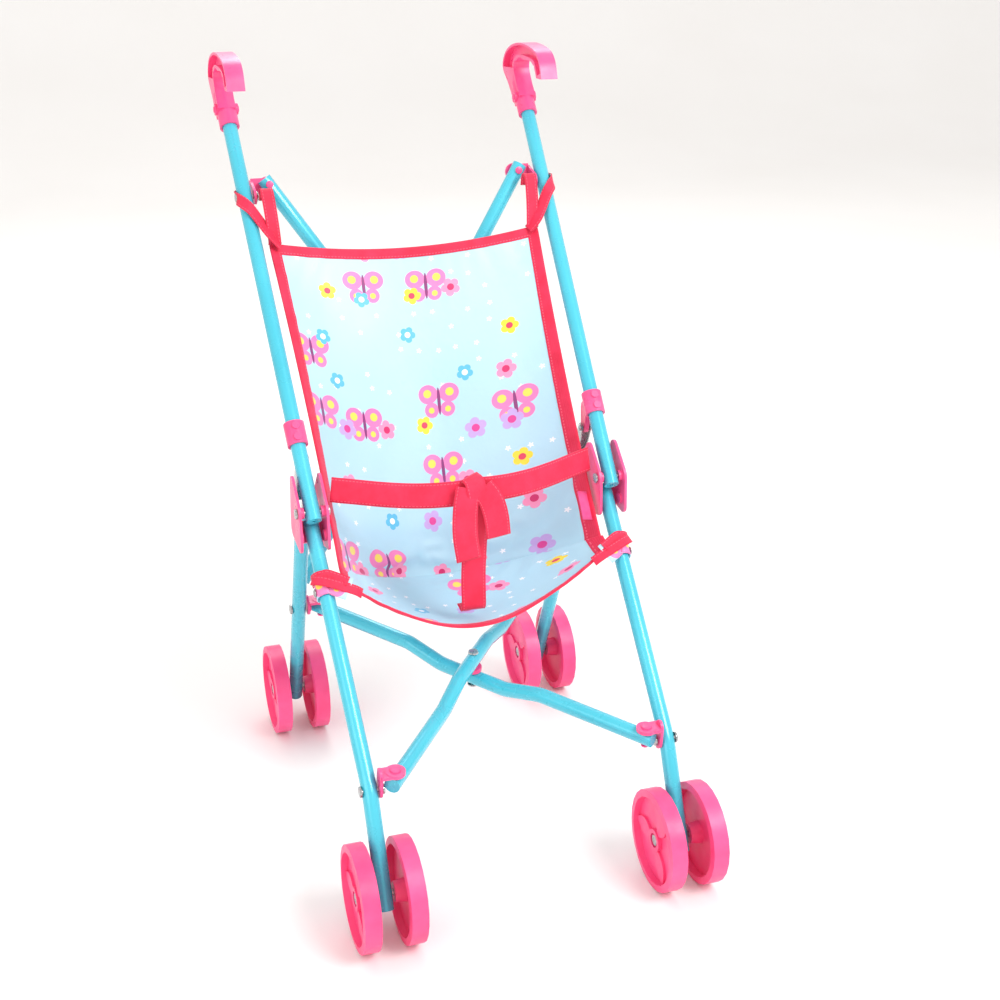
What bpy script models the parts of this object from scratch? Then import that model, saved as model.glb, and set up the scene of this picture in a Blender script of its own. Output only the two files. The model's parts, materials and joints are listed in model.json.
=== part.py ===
"""Doll stroller: an umbrella-fold frame of painted tubes, with four twin wheels and a fabric sling.

Metres, +Z up. The front faces -Y and the doll's left is +X. The ground is Z = 0.
Each side frame lies in a plane parallel to YZ, so its points are written as (y, z)."""

import math

import bmesh
import bpy
from mathutils import Matrix, Vector

# ---- tubes and hardware
TUBE_R = 0.0058
TUBE_BEVEL = 5
BOLT_R = 0.0018
SLACK_BORE = 0.0011  # extra bore radius where a bolt is free to wander in its hole
HEAD_R = 0.0040
HEAD_T = 0.0016
AXLE_R = 0.0022
GAP = 0.0003
RUN = 0.0004
PLATE_T = 0.0019

# ---- side frame, in its own plane, and how far each point stands from the middle
HANDLE_TOP = (0.2364, 0.5000)
HANDLE_TOP_X = 0.1252
HANDLE_END = (0.0076, 0.2506)
HANDLE_END_X = 0.1162
KNEE_UP = 0.0072
LEG_BEHIND = 0.0162
LEG_OVERLAP = 0.0060
FRONT_BOLT = (-0.1225, 0.1010)
FRONT_BOLT_X = 0.1114
LEG_BEND_R = 0.060
FOOT_BELOW_AXLE = 0.0115
REAR_TOP = (0.0675, 0.2331)
REAR_TOP_X = 0.1135
REAR_PIVOT_DOWN = 0.0120
REAR_BOLT_Z = 0.1310
TAB_OUT = (0.0120, 0.0060)
TAB_T = 0.0030
TAB_R = 0.0048

# ---- wheels
WHEEL_R = 0.0375
WHEEL_W = 0.0130
WHEEL_STEPS = 24
WHEEL_GAP = 0.0009
HALF_BASE = 0.1532
FOOT_X = 0.1109
WHEEL_OUT = 0.0161
HUB_R = 0.0085
WEB_T = 0.0025
RIM_T = 0.0058

# ---- knee, sleeve and link
KNEE_HALF_W = 0.0092
KNEE_UP_REACH = 0.0240
KNEE_DOWN_REACH = 0.0200
SLEEVE_UP = 0.0620
SLEEVE_H = 0.0180
SLEEVE_WALL = 0.0017
EAR_UP = 0.0500
EAR_OUT = 0.0180
EAR_T = 0.0040
LINK_HALF_W = 0.0040
LINK_T = 0.0010
LINK_R = 0.0042

# ---- cross tubes
LOWER_END_X = 0.0935
LOWER_FRONT_STEP = (-0.00180, 0.00550)  # from the front bolt
LOWER_REAR_STEP = (0.00324, -0.00300)  # from the rear bolt
BACK_TOP_X = 0.1031
BACK_TOP_STEP = (0.00786, 0.00683)  # from the upper pivot
BACK_LOW_X = 0.1031
BACK_LOW_STEP = (0.00934, 0.02500)  # from the rear bolt
END_PAST = 0.0060
SPREAD = 0.0078
STRAIGHT = 0.030
SLOPE = 0.032
TONGUE_T = 0.0022
TONGUE_R = 0.0072
PAD_STEP = 0.0004
UPPER_BOLT = 0.193

# ---- handle grip
GRIP_W = 0.0140
GRIP_WALL = 0.0019
GRIP_WEB = 0.0026
GRIP_RIPPLE = 0.0009
# steps (y, z) from the handle tube's top end: over the crook to its tip, and back under it
GRIP_OUTER = (
    (0.0486, 0.0330),
    (0.0376, 0.0480),
    (0.0076, 0.0562),
    (-0.0284, 0.0545),
    (-0.0434, 0.0470),
    (-0.0504, 0.0330),
)
GRIP_INNER = (
    (-0.0374, 0.0325),
    (-0.0334, 0.0385),
    (-0.0264, 0.0435),
    (0.0056, 0.0440),
    (0.0196, 0.0370),
    (0.0116, 0.0230),
)
SOCKET_R = 0.0079
SOCKET_DOWN = 0.0010
SOCKET_UP = 0.0260

# ---- sling
CLOTH_T = 0.0020
BACK_TOP_HALF = 0.1110
BACK_LOW_HALF = 0.1025
# (y, z) of the sling's back: its foot in the middle and at the side, where it hangs further forward, and its top
BACK_LOW_YZ = (0.0790, 0.1680)
BACK_LOW_SIDE = (-0.0100, 0.2225)
BACK_TOP_YZ = (0.1690, 0.4190)
BACK_SAG = 0.0130
BACK_FLARE = 1.8
TOP_SAG = 0.0120
SEAT_HALF = 0.1025
SEAT_FRONT = (-0.0220, 0.2130)
SEAT_FRONT_SAG = 0.0470
SEAT_REAR = (0.0830, 0.1570)
SEAT_REAR_SIDE = (-0.0100, 0.2165)
SEAT_SAG = 0.0080
BELT_W = 0.0190
BELT_T = 0.0014
BELT_FROM = (0.1010, 0.0180, 0.2700)
BELT_FORWARD = 0.0300
BELT_RISE = -0.0020
STRAP_W = 0.0100
STRAP_T = 0.0012

COLOURS = {
    "tube": ((0.102, 0.604, 0.730, 1), 0.22, 0.35),
    "plastic": ((0.906, 0.102, 0.271, 1), 0.35, 0.0),
    "steel": ((0.62, 0.63, 0.64, 1), 0.25, 1.0),
    "webbing": ((0.85, 0.02, 0.10, 1), 0.7, 0.0),
    "cloth": ((0.55, 0.83, 0.92, 1), 0.5, 0.0),
    "wheel": ((0.90, 0.09, 0.25, 1), 0.4, 0.0),
}


def clear_scene():
    for obj in list(bpy.data.objects):
        bpy.data.objects.remove(obj, do_unlink=True)


def new_collection(name):
    made = bpy.data.collections.new(name)
    bpy.context.scene.collection.children.link(made)
    return made


clear_scene()
PARTS = new_collection("doll_stroller")
CUTTERS = new_collection("cutters")
CUTTERS.hide_render = True
BODIES = {}


# ---- plane geometry
def add2(a, b, k=1.0):
    return (a[0] + k * b[0], a[1] + k * b[1])


def unit2(a, b):
    run = math.hypot(b[0] - a[0], b[1] - a[1])
    return ((b[0] - a[0]) / run, (b[1] - a[1]) / run)


def mix(a, b, k):
    return tuple(p + (q - p) * k for p, q in zip(a, b))


ALONG = unit2(HANDLE_END, HANDLE_TOP)
BEHIND = (ALONG[1], -ALONG[0])
HANDLE_RUN = math.hypot(HANDLE_TOP[0] - HANDLE_END[0], HANDLE_TOP[1] - HANDLE_END[1])
KNEE = add2(HANDLE_END, ALONG, KNEE_UP)
LEG_TOP = add2(add2(HANDLE_END, BEHIND, LEG_BEHIND), ALONG, LEG_OVERLAP)
# a flat of the tread lies on the ground, so the axles stand a flat's distance above it
AXLE_Z = WHEEL_R * math.cos(math.pi / WHEEL_STEPS)
FRONT_AXLE = (-HALF_BASE, AXLE_Z)
REAR_AXLE = (HALF_BASE, AXLE_Z)
FOOT_DIR = unit2(FRONT_BOLT, FRONT_AXLE)
REAR_DIR = unit2(REAR_TOP, REAR_AXLE)
REAR_PIVOT = add2(REAR_TOP, REAR_DIR, REAR_PIVOT_DOWN)
LINK_LOW = add2(REAR_PIVOT, TAB_OUT)
LINK_HIGH = add2(add2(KNEE, ALONG, EAR_UP), BEHIND, EAR_OUT)
REAR_BOLT = add2(REAR_TOP, REAR_DIR, (REAR_TOP[1] - REAR_BOLT_Z) / -REAR_DIR[1])
UPPER_PIVOT = mix(HANDLE_TOP, HANDLE_END, UPPER_BOLT)
LOWER_FRONT = add2(FRONT_BOLT, LOWER_FRONT_STEP)
LOWER_REAR = add2(REAR_BOLT, LOWER_REAR_STEP)
BACK_TOP = add2(UPPER_PIVOT, BACK_TOP_STEP)
BACK_LOW = add2(REAR_BOLT, BACK_LOW_STEP)
LOWER_DIR = unit2(LOWER_FRONT, LOWER_REAR)
BACK_DIR = unit2(BACK_LOW, BACK_TOP)


def handle_x(up):
    """How far the handle tube stands from the middle, this far above its lower end."""
    return HANDLE_END_X + (HANDLE_TOP_X - HANDLE_END_X) * up / HANDLE_RUN


def rear_x(z):
    share = (REAR_TOP[1] - z) / (REAR_TOP[1] - REAR_AXLE[1])
    return REAR_TOP_X + (FOOT_X - REAR_TOP_X) * share


def leg_x(z):
    share = (HANDLE_END[1] - z) / (HANDLE_END[1] - FRONT_BOLT[1])
    return HANDLE_END_X + (FRONT_BOLT_X - HANDLE_END_X) * share


def circle_points(y, z, r, count=12):
    turn = 2 * math.pi / count
    return [(y + r * math.cos(i * turn), z + r * math.sin(i * turn)) for i in range(count)]


def hull(circles, count=12):
    """The outline round a few circles, anticlockwise."""
    points = sorted(p for c in circles for p in circle_points(*c, count))

    def half(seq):
        out = []
        for p in seq:
            while len(out) > 1 and turn_of(out[-2], out[-1], p) <= 1e-12:
                out.pop()
            out.append(p)
        return out[:-1]

    return half(points) + half(points[::-1])


def turn_of(a, b, c):
    return (b[0] - a[0]) * (c[1] - a[1]) - (b[1] - a[1]) * (c[0] - a[0])


def smooth_path(points, steps):
    """A Catmull-Rom curve through the points."""
    ends = [points[0]] + list(points) + [points[-1]]
    out = []
    for i in range(len(points) - 1):
        p0, p1, p2, p3 = (Vector(q) for q in ends[i : i + 4])
        for k in range(steps):
            t = k / steps
            out.append(
                0.5
                * (2 * p1 + (p2 - p0) * t + (2 * p0 - 5 * p1 + 4 * p2 - p3) * t * t
                   + (3 * p1 - p0 - 3 * p2 + p3) * t**3)
            )
    return out + [Vector(points[-1])]


def rounded(points, radius, steps=5):
    """A broken line with its inner corners turned into arcs of about this radius."""
    points = [Vector(p) for p in points]
    out = [points[0]]
    for before, here, after in zip(points, points[1:], points[2:]):
        a = (before - here).normalized()
        b = (after - here).normalized()
        half = a.angle(b) / 2
        back = min(radius / math.tan(half), 0.45 * (before - here).length, 0.45 * (after - here).length)
        start, end = here + a * back, here + b * back
        for i in range(steps + 1):
            t = i / steps
            out.append((1 - t) ** 2 * start + 2 * t * (1 - t) * here + t * t * end)
    return out + [points[-1]]


# ---- Blender objects
def material(kind):
    name = "mat_" + kind
    if name in bpy.data.materials:
        return bpy.data.materials[name]
    colour, rough, metal = COLOURS[kind]
    made = bpy.data.materials.new(name)
    made.use_nodes = True
    shader = made.node_tree.nodes["Principled BSDF"]
    shader.inputs["Base Color"].default_value = colour
    shader.inputs["Roughness"].default_value = rough
    shader.inputs["Metallic"].default_value = metal
    return made


def link_new(name, data):
    obj = bpy.data.objects.new(name, data)
    CUTTERS.objects.link(obj)
    return obj


def weld(mesh):
    bm = bmesh.new()
    bm.from_mesh(mesh)
    bmesh.ops.remove_doubles(bm, verts=bm.verts, dist=0.000002)
    bm.to_mesh(mesh)
    bm.free()


def as_mesh(obj):
    """The object as a plain welded mesh in world coordinates."""
    bpy.context.view_layer.update()
    graph = bpy.context.evaluated_depsgraph_get()
    mesh = bpy.data.meshes.new_from_object(obj.evaluated_get(graph))
    mesh.transform(obj.matrix_world)
    if obj.type == "CURVE":
        weld(mesh)
    name = obj.name
    bpy.data.objects.remove(obj, do_unlink=True)
    made = link_new(name, mesh)
    return made


def rod(name, points, radius=TUBE_R, bevel=TUBE_BEVEL):
    curve = bpy.data.curves.new(name, "CURVE")
    curve.dimensions = "3D"
    curve.bevel_depth = radius
    curve.bevel_resolution = bevel
    curve.use_fill_caps = True
    spline = curve.splines.new("POLY")
    spline.points.add(len(points) - 1)
    for point, co in zip(spline.points, points):
        point.co = (*co, 1)
    return as_mesh(link_new(name, curve))


def cylinder(name, centre, axis, radius, length, steps=16, radius_end=None):
    bm = bmesh.new()
    bmesh.ops.create_cone(
        bm,
        cap_ends=True,
        segments=steps,
        radius1=radius,
        radius2=radius if radius_end is None else radius_end,
        depth=length,
    )
    turn = Vector(axis).to_track_quat("Z", "Y").to_matrix().to_4x4()
    bm.transform(Matrix.Translation(centre) @ turn)
    mesh = bpy.data.meshes.new(name)
    bm.to_mesh(mesh)
    bm.free()
    return link_new(name, mesh)


def box(name, centre, size, axes=None, bevel=0.0):
    """A block of this size. axes gives the directions of its sides."""
    bm = bmesh.new()
    bmesh.ops.create_cube(bm, size=1.0)
    bmesh.ops.scale(bm, vec=size, verts=bm.verts)
    if bevel:
        bmesh.ops.bevel(bm, geom=bm.edges, offset=bevel, segments=2, affect="EDGES", profile=0.5)
    turn = Matrix([Vector(a) for a in axes]).transposed().to_4x4() if axes else Matrix()
    bm.transform(Matrix.Translation(centre) @ turn)
    mesh = bpy.data.meshes.new(name)
    bm.to_mesh(mesh)
    bm.free()
    return link_new(name, mesh)


def slab(name, outline, low, high, frame=None):
    """A flat outline made solid from low to high along X, or along the third axis of frame."""
    curve = bpy.data.curves.new(name, "CURVE")
    curve.dimensions = "2D"
    curve.fill_mode = "BOTH"
    curve.extrude = (high - low) / 2
    spline = curve.splines.new("POLY")
    spline.points.add(len(outline) - 1)
    for point, co in zip(spline.points, outline):
        point.co = (co[0], co[1], 0, 1)
    spline.use_cyclic_u = True
    obj = link_new(name, curve)
    side = Matrix(((0, 0, 1, 0), (1, 0, 0, 0), (0, 1, 0, 0), (0, 0, 0, 1)))
    turn = side if frame is None else frame
    obj.matrix_world = turn @ Matrix.Translation((0, 0, (low + high) / 2))
    return as_mesh(obj)


def side_slab(name, outline, s, x0, x1):
    low, high = sorted((s * x0, s * x1))
    return slab(name, outline, low, high)


def is_closed(mesh):
    bm = bmesh.new()
    bm.from_mesh(mesh)
    open_edges = sum(not edge.is_manifold for edge in bm.edges)
    bm.free()
    return open_edges == 0


def boolean(obj, other, operation):
    """The exact solver first; the manifold solver where faces lie too close for it."""
    kept = obj.data.copy()
    made = combine(obj, other, operation, "EXACT")
    if not is_closed(made.data):
        bpy.data.objects.remove(made, do_unlink=True)
        made = combine(link_new("again", kept), other, operation, "MANIFOLD")
    bpy.data.objects.remove(other, do_unlink=True)
    return made


def combine(obj, other, operation, solver):
    modifier = obj.modifiers.new(operation.lower(), "BOOLEAN")
    modifier.operation = operation
    modifier.solver = solver
    modifier.object = other
    return as_mesh(obj)


def join(first, *others):
    for other in others:
        first = boolean(first, other, "UNION")
    return first


def cut(first, *others):
    for other in others:
        first = boolean(first, other, "DIFFERENCE")
    return first


def soften(obj, width, angle=35.0):
    modifier = obj.modifiers.new("edges", "BEVEL")
    modifier.width = width
    modifier.segments = 2
    modifier.limit_method = "ANGLE"
    modifier.angle_limit = math.radians(angle)
    return as_mesh(obj)


def body(name, origin, parent=None):
    empty = bpy.data.objects.new("body_" + name, None)
    empty.empty_display_size = 0.02
    PARTS.objects.link(empty)
    if parent:
        empty.parent = BODIES[parent]
        empty.location = Vector(origin) - BODIES[parent].matrix_world.translation
    else:
        empty.location = origin
    BODIES[name] = empty
    bpy.context.view_layer.update()


def finish(obj, name, kind, on):
    """Names the piece, moves its origin to its body's joint and hangs it there."""
    mesh = obj.data
    origin = BODIES[on].matrix_world.translation
    mesh.transform(Matrix.Translation(-origin))
    mesh.name = name
    mesh.materials.clear()
    mesh.materials.append(material(kind))
    mesh.shade_smooth()
    mesh.set_sharp_from_angle(angle=math.radians(32))
    CUTTERS.objects.unlink(obj)
    PARTS.objects.link(obj)
    obj.name = name
    obj.parent = BODIES[on]
    return obj


def bore(obj, point, axis, radius, length=0.04):
    return cut(obj, cylinder("bore", point, axis, radius, length, 16))


def at(s, x, yz):
    return Vector((s * x, yz[0], yz[1]))


def side_name(s):
    return "left" if s > 0 else "right"


def screw_head(point, outward, radius=HEAD_R, height=HEAD_T):
    """A low domed head whose flat side is at the point."""
    out = Vector(outward)
    centre = Vector(point) + out * height / 2
    head = cylinder("head", centre, out, radius, height, 12)
    bm = bmesh.new()
    bm.from_mesh(head.data)
    bm.normal_update()
    top = max(bm.faces, key=lambda face: (face.calc_center_median() - centre).dot(out))
    bmesh.ops.bevel(
        bm, geom=list(top.edges), offset=height * 0.7, segments=2, affect="EDGES", profile=0.6
    )
    bm.to_mesh(head.data)
    bm.free()
    return head


def rivet(name, start, end, radius=BOLT_R, head=HEAD_R):
    """A pin with a head on each end; start and end are the faces its heads sit on."""
    axis = (Vector(end) - Vector(start)).normalized()
    long = (Vector(end) - Vector(start)).length + 2 * HEAD_T * 0.4
    shank = cylinder(name, (Vector(start) + Vector(end)) / 2, axis, radius, long, 16)
    return join(shank, screw_head(start, -axis, head), screw_head(end, axis, head))


# ---- frames of the two cross planes
LOWER_N = Vector((0, -LOWER_DIR[1], LOWER_DIR[0]))
BACK_N = Vector((0, -BACK_DIR[1], BACK_DIR[0]))
LOWER_MID = Vector((0, *mix(LOWER_FRONT, LOWER_REAR, 0.5)))


def cross_path(front, rear, normal, side):
    """A tube with two shallow bends, so that its middle runs beside the other tube's middle."""
    along = (rear - front).normalized()
    middle = (front + rear) / 2
    # the two tubes cross where their mirrored halves meet
    share = abs(front.x) / (abs(front.x) + abs(rear.x))
    middle = front + (rear - front) * share
    shift = normal * SPREAD * side
    points = [
        front - along * END_PAST,
        middle - along * (STRAIGHT + SLOPE),
        middle - along * STRAIGHT + shift,
        middle + along * STRAIGHT + shift,
        middle + along * (STRAIGHT + SLOPE),
        rear + along * END_PAST,
    ]
    return rounded(points, 0.030, 3), middle


# ---- pieces of one side
def make_bodies():
    body("left_front", at(1, FRONT_BOLT_X, FRONT_BOLT))
    for s, parent in ((1, "left_front"), (-1, None)):
        side = side_name(s)
        if s < 0:
            body("right_front", at(s, FRONT_BOLT_X, FRONT_BOLT), "left_front")
        front = side + "_front"
        body(side + "_handle", at(s, HANDLE_END_X, KNEE), front)
        body(side + "_sleeve", at(s, handle_x(KNEE_UP + SLEEVE_UP), add2(KNEE, ALONG, SLEEVE_UP)), side + "_handle")
        body(side + "_link", at(s, REAR_TOP_X, LINK_HIGH), side + "_sleeve")
        body(side + "_rear_leg", at(s, REAR_TOP_X, REAR_PIVOT), front)
        body(side + "_front_bracket", at(s, FRONT_BOLT_X, FRONT_BOLT), front)
        body(side + "_rear_bracket", at(s, LOWER_END_X, LOWER_REAR), front)
        body(side + "_upper_bracket", at(s, HANDLE_TOP_X, UPPER_PIVOT), side + "_handle")
        for place, axle, on in (("front", FRONT_AXLE, front), ("rear", REAR_AXLE, side + "_rear_leg")):
            for which, k in (("outer", 1), ("inner", -1)):
                body(f"wheel_{place}_{side}_{which}", at(s, FOOT_X + k * WHEEL_OUT, axle), on)
    body("lower_cross_a", at(1, LOWER_END_X, LOWER_FRONT), "left_front_bracket")
    body("lower_cross_b", (0, *mix(LOWER_FRONT, LOWER_REAR, 0.5)), "lower_cross_a")
    body("back_cross_a", at(1, BACK_TOP_X, BACK_TOP), "left_upper_bracket")
    share = BACK_TOP_X / (BACK_TOP_X + BACK_LOW_X)
    body("back_cross_b", (0, *mix(BACK_TOP, BACK_LOW, share)), "back_cross_a")
    body("back_panel", at(1, BACK_TOP_HALF, BACK_TOP_YZ), "left_handle")
    body("seat_panel", at(1, SEAT_HALF, SEAT_FRONT), "left_front")


def front_leg(s, side):
    foot = add2(FRONT_AXLE, FOOT_DIR, FOOT_BELOW_AXLE)
    line = [
        at(s, leg_x(LEG_TOP[1]), LEG_TOP),
        at(s, FRONT_BOLT_X, FRONT_BOLT),
        at(s, FOOT_X, foot),
    ]
    tube = rod("leg", rounded(line, LEG_BEND_R, 6))
    tube = bore(tube, at(s, FOOT_X, FRONT_AXLE), (1, 0, 0), AXLE_R + RUN / 2)
    tube = bore(tube, at(s, FRONT_BOLT_X, FRONT_BOLT), (1, 0, 0), BOLT_R + GAP)
    finish(tube, f"front_leg_{side}", "tube", side + "_front")
    # the bolt carries the bracket: head outside, spacer and nut inside
    outside = at(s, FRONT_BOLT_X + TUBE_R + GAP, FRONT_BOLT)
    inside = at(s, FRONT_BOLT_X - TUBE_R - GAP - PLATE_T - 3 * GAP, FRONT_BOLT)
    bolt = rivet("bolt", outside, inside)
    finish(bolt, f"front_bracket_bolt_{side}", "steel", side + "_front")


def knee(s, side):
    middle = HANDLE_END_X + 0.0003
    inner, outer = middle - KNEE_HALF_W, middle + KNEE_HALF_W
    up = add2(KNEE, ALONG, KNEE_UP_REACH)
    up = add2(up, BEHIND, 0.0015)
    down = add2(add2(KNEE, ALONG, -KNEE_DOWN_REACH), BEHIND, LEG_BEHIND - 0.003)
    back = add2(KNEE, BEHIND, LEG_BEHIND + 0.011)
    small = [(*up, 0.0062), (*KNEE, 0.0080), (*down, 0.0055), (*back, 0.0075)]
    outer_plate = side_slab("plate", hull(small), s, outer, outer + PLATE_T)
    inner_plate = side_slab("plate", hull(small + [(*REAR_PIVOT, 0.0070)]), s, inner - PLATE_T, inner)
    # the web closes the U behind the top of the front leg
    web_at = add2(add2(KNEE, ALONG, -0.0060), BEHIND, LEG_BEHIND + TUBE_R + 0.0022)
    web = box(
        "web",
        at(s, middle, web_at),
        (2 * KNEE_HALF_W + PLATE_T, 0.0022, 0.0170),
        [(1, 0, 0), (0, *BEHIND), (0, *ALONG)],
    )
    bracket = join(inner_plate, outer_plate, web)
    for point in (KNEE, add2(down, ALONG, 0.006)):
        for face, way in ((inner, 1), (outer, -1)):
            reach_x = KNEE_HALF_W - TUBE_R - 2 * GAP if point == KNEE else 0.0016
            boss = cylinder("boss", at(s, face + way * (reach_x - 0.001) / 2, point), (1, 0, 0), 0.0042, reach_x + 0.001)
            bracket = join(bracket, boss)
    bracket = bore(bracket, at(s, middle, KNEE), (1, 0, 0), BOLT_R + GAP, 0.06)
    bracket = bore(bracket, at(s, inner, REAR_PIVOT), (1, 0, 0), BOLT_R + GAP, 0.01)
    finish(bracket, f"knee_bracket_{side}", "plastic", side + "_front")
    pin = rivet(
        "pin",
        at(s, outer + PLATE_T + GAP, KNEE),
        at(s, inner - PLATE_T - GAP, KNEE),
    )
    finish(pin, f"knee_pin_{side}", "steel", side + "_front")
    pin = rivet(
        "pin",
        at(s, REAR_TOP_X + TUBE_R + GAP, REAR_PIVOT),
        at(s, inner - PLATE_T - GAP, REAR_PIVOT),
    )
    finish(pin, f"rear_leg_pin_{side}", "steel", side + "_front")


def handle(s, side):
    bottom = at(s, HANDLE_END_X, HANDLE_END)
    top_yz = add2(HANDLE_TOP, ALONG, SOCKET_UP - 0.004)
    top = at(s, handle_x(HANDLE_RUN + SOCKET_UP - 0.004), top_yz)
    tube = rod("handle", [bottom, top])
    way = (top - bottom).normalized()
    tube = cut(tube, cylinder("hole", bottom, way, 0.0016, 0.008, 12))
    tube = bore(tube, at(s, HANDLE_END_X, KNEE), (1, 0, 0), BOLT_R + GAP)
    pivot_x = handle_x(HANDLE_RUN * (1 - UPPER_BOLT))
    tube = bore(tube, at(s, pivot_x, UPPER_PIVOT), (1, 0, 0), BOLT_R + GAP)
    finish(tube, f"handle_tube_{side}", "tube", side + "_handle")
    bolt = rivet(
        "bolt",
        at(s, pivot_x + TUBE_R + GAP, UPPER_PIVOT),
        at(s, pivot_x - TUBE_R - 3 * GAP - PLATE_T - GAP, UPPER_PIVOT),
    )
    finish(bolt, f"upper_bolt_{side}", "steel", side + "_handle")


def grip(s, side):
    """A crook that rises in line with the handle, turns forward and ends in a tip that points down.

    A deep channel runs along each side, between a thin outer band and the wavy wall under the fingers.
    """
    foot = add2(HANDLE_TOP, ALONG, 0.012)
    waist = add2(HANDLE_TOP, ALONG, 0.036)
    outer = [add2(foot, BEHIND, SOCKET_R), add2(waist, BEHIND, 0.0105)]
    outer += [add2(HANDLE_TOP, step) for step in GRIP_OUTER]
    inner = [add2(HANDLE_TOP, step) for step in GRIP_INNER] + [add2(foot, BEHIND, -SOCKET_R)]
    outer = smooth_path([(*p, 0) for p in outer], 5)
    inner = smooth_path([(*p, 0) for p in inner], 5)
    wave = []
    for i, p in enumerate(inner):
        ripple = GRIP_RIPPLE * math.sin(i * 2 * math.pi / 4) if 6 < i < 22 else 0.0
        wave.append((p.x, p.y - ripple))
    outline = [(p.x, p.y) for p in outer] + wave
    x = handle_x(HANDLE_RUN + 0.03)
    hook = side_slab("hook", outline, s, x - GRIP_W / 2, x + GRIP_W / 2)
    channel = inset(outer[10:34], GRIP_WALL) + inset(inner[1:22], GRIP_WALL + GRIP_RIPPLE)
    channel_line = [(p.x, p.y) for p in channel]
    for x0, x1 in ((GRIP_WEB / 2, GRIP_W), (-GRIP_W, -GRIP_WEB / 2)):
        hook = cut(hook, side_slab("channel", channel_line, s, x + x0, x + x1))
    hook = soften(hook, 0.0004)
    low = at(s, handle_x(HANDLE_RUN - SOCKET_DOWN), add2(HANDLE_TOP, ALONG, -SOCKET_DOWN))
    high = at(s, handle_x(HANDLE_RUN + SOCKET_UP), add2(HANDLE_TOP, ALONG, SOCKET_UP + 0.004))
    way = (high - low).normalized()
    socket = cylinder("socket", (low + high) / 2, way, SOCKET_R, (high - low).length, 20)
    hook = join(hook, socket)
    screw_at = low + way * 0.0170
    for k in (1, -1):
        boss = cylinder("boss", screw_at + Vector((k * 0.0072, 0, 0)), (1, 0, 0), 0.0046, 0.0040)
        hook = join(hook, boss)
        hook = join(hook, screw_head(screw_at + Vector((k * 0.0091, 0, 0)), (k, 0, 0), 0.0026, 0.0010))
    seat_low = low - way * 0.01
    seat_high = at(s, handle_x(HANDLE_RUN + SOCKET_UP - 0.0037), add2(HANDLE_TOP, ALONG, SOCKET_UP - 0.0037))
    seat = cylinder(
        "seat", (seat_low + seat_high) / 2, way, TUBE_R + GAP, (seat_high - seat_low).length, 20
    )
    hook = cut(hook, seat)
    finish(hook, f"handle_grip_{side}", "plastic", side + "_handle")


def inset(points, depth):
    """The same run of points moved this far to the right of their direction of travel."""
    out = []
    for i, p in enumerate(points):
        a = points[max(i - 1, 0)]
        b = points[min(i + 1, len(points) - 1)]
        way = (b - a).normalized()
        out.append(Vector((p.x - way.y * depth, p.y + way.x * depth, 0)))
    return out


def sleeve(s, side):
    low = at(s, handle_x(KNEE_UP + SLEEVE_UP - SLEEVE_H / 2), add2(KNEE, ALONG, SLEEVE_UP - SLEEVE_H / 2))
    high = at(s, handle_x(KNEE_UP + SLEEVE_UP + SLEEVE_H / 2), add2(KNEE, ALONG, SLEEVE_UP + SLEEVE_H / 2))
    way = (high - low).normalized()
    ring = cylinder("ring", (low + high) / 2, way, TUBE_R + GAP + SLEEVE_WALL, SLEEVE_H, 24)
    root = add2(add2(KNEE, ALONG, SLEEVE_UP - 0.001), BEHIND, 0.0065)
    ear = side_slab(
        "ear",
        hull([(*root, 0.0060), (*LINK_HIGH, 0.0040)]),
        s,
        REAR_TOP_X - EAR_T / 2,
        REAR_TOP_X + EAR_T / 2,
    )
    ring = join(ring, ear)
    for k in (1, -1):
        spot = at(s, handle_x(KNEE_UP + SLEEVE_UP), add2(add2(KNEE, ALONG, SLEEVE_UP + k * 0.0045), BEHIND, -0.0062))
        ring = join(ring, cylinder("boss", spot, (0, *BEHIND), 0.0030, 0.0050, 12))
    ring = cut(ring, cylinder("seat", (low + high) / 2, way, TUBE_R + GAP, SLEEVE_H + 0.01, 24))
    ring = bore(ring, at(s, REAR_TOP_X, LINK_HIGH), (1, 0, 0), BOLT_R * 0.8 + GAP, 0.012)
    finish(ring, f"sleeve_{side}", "plastic", side + "_sleeve")


def link(s, side):
    outline = hull([(*LINK_HIGH, LINK_R), (*LINK_LOW, LINK_R)])
    inner = side_slab("cheek", outline, s, REAR_TOP_X - LINK_HALF_W, REAR_TOP_X - LINK_HALF_W + LINK_T)
    outer = side_slab("cheek", outline, s, REAR_TOP_X + LINK_HALF_W - LINK_T, REAR_TOP_X + LINK_HALF_W)
    way = unit2(LINK_LOW, LINK_HIGH)
    back = (way[1], -way[0])
    run = math.hypot(LINK_HIGH[0] - LINK_LOW[0], LINK_HIGH[1] - LINK_LOW[1])
    web = box(
        "web",
        at(s, REAR_TOP_X, add2(mix(LINK_LOW, LINK_HIGH, 0.5), back, LINK_R - LINK_T / 2)),
        (2 * LINK_HALF_W - 0.0002, LINK_T, run - 0.018),
        [(1, 0, 0), (0, *back), (0, *way)],
    )
    bar = join(inner, outer, web)
    # one pin joins the link to the ear; the lower end carries only its rivet heads
    pin = cylinder("pin", at(s, REAR_TOP_X, LINK_HIGH), (1, 0, 0), BOLT_R * 0.8, 2 * LINK_HALF_W)
    bar = join(bar, pin)
    for point in (LINK_HIGH, LINK_LOW):
        for k in (1, -1):
            bar = join(bar, screw_head(at(s, REAR_TOP_X, point) + Vector((k * (LINK_HALF_W - 0.0001), 0, 0)), (k, 0, 0), 0.0026, 0.0012))
    finish(bar, f"link_{side}", "steel", side + "_link")


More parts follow.
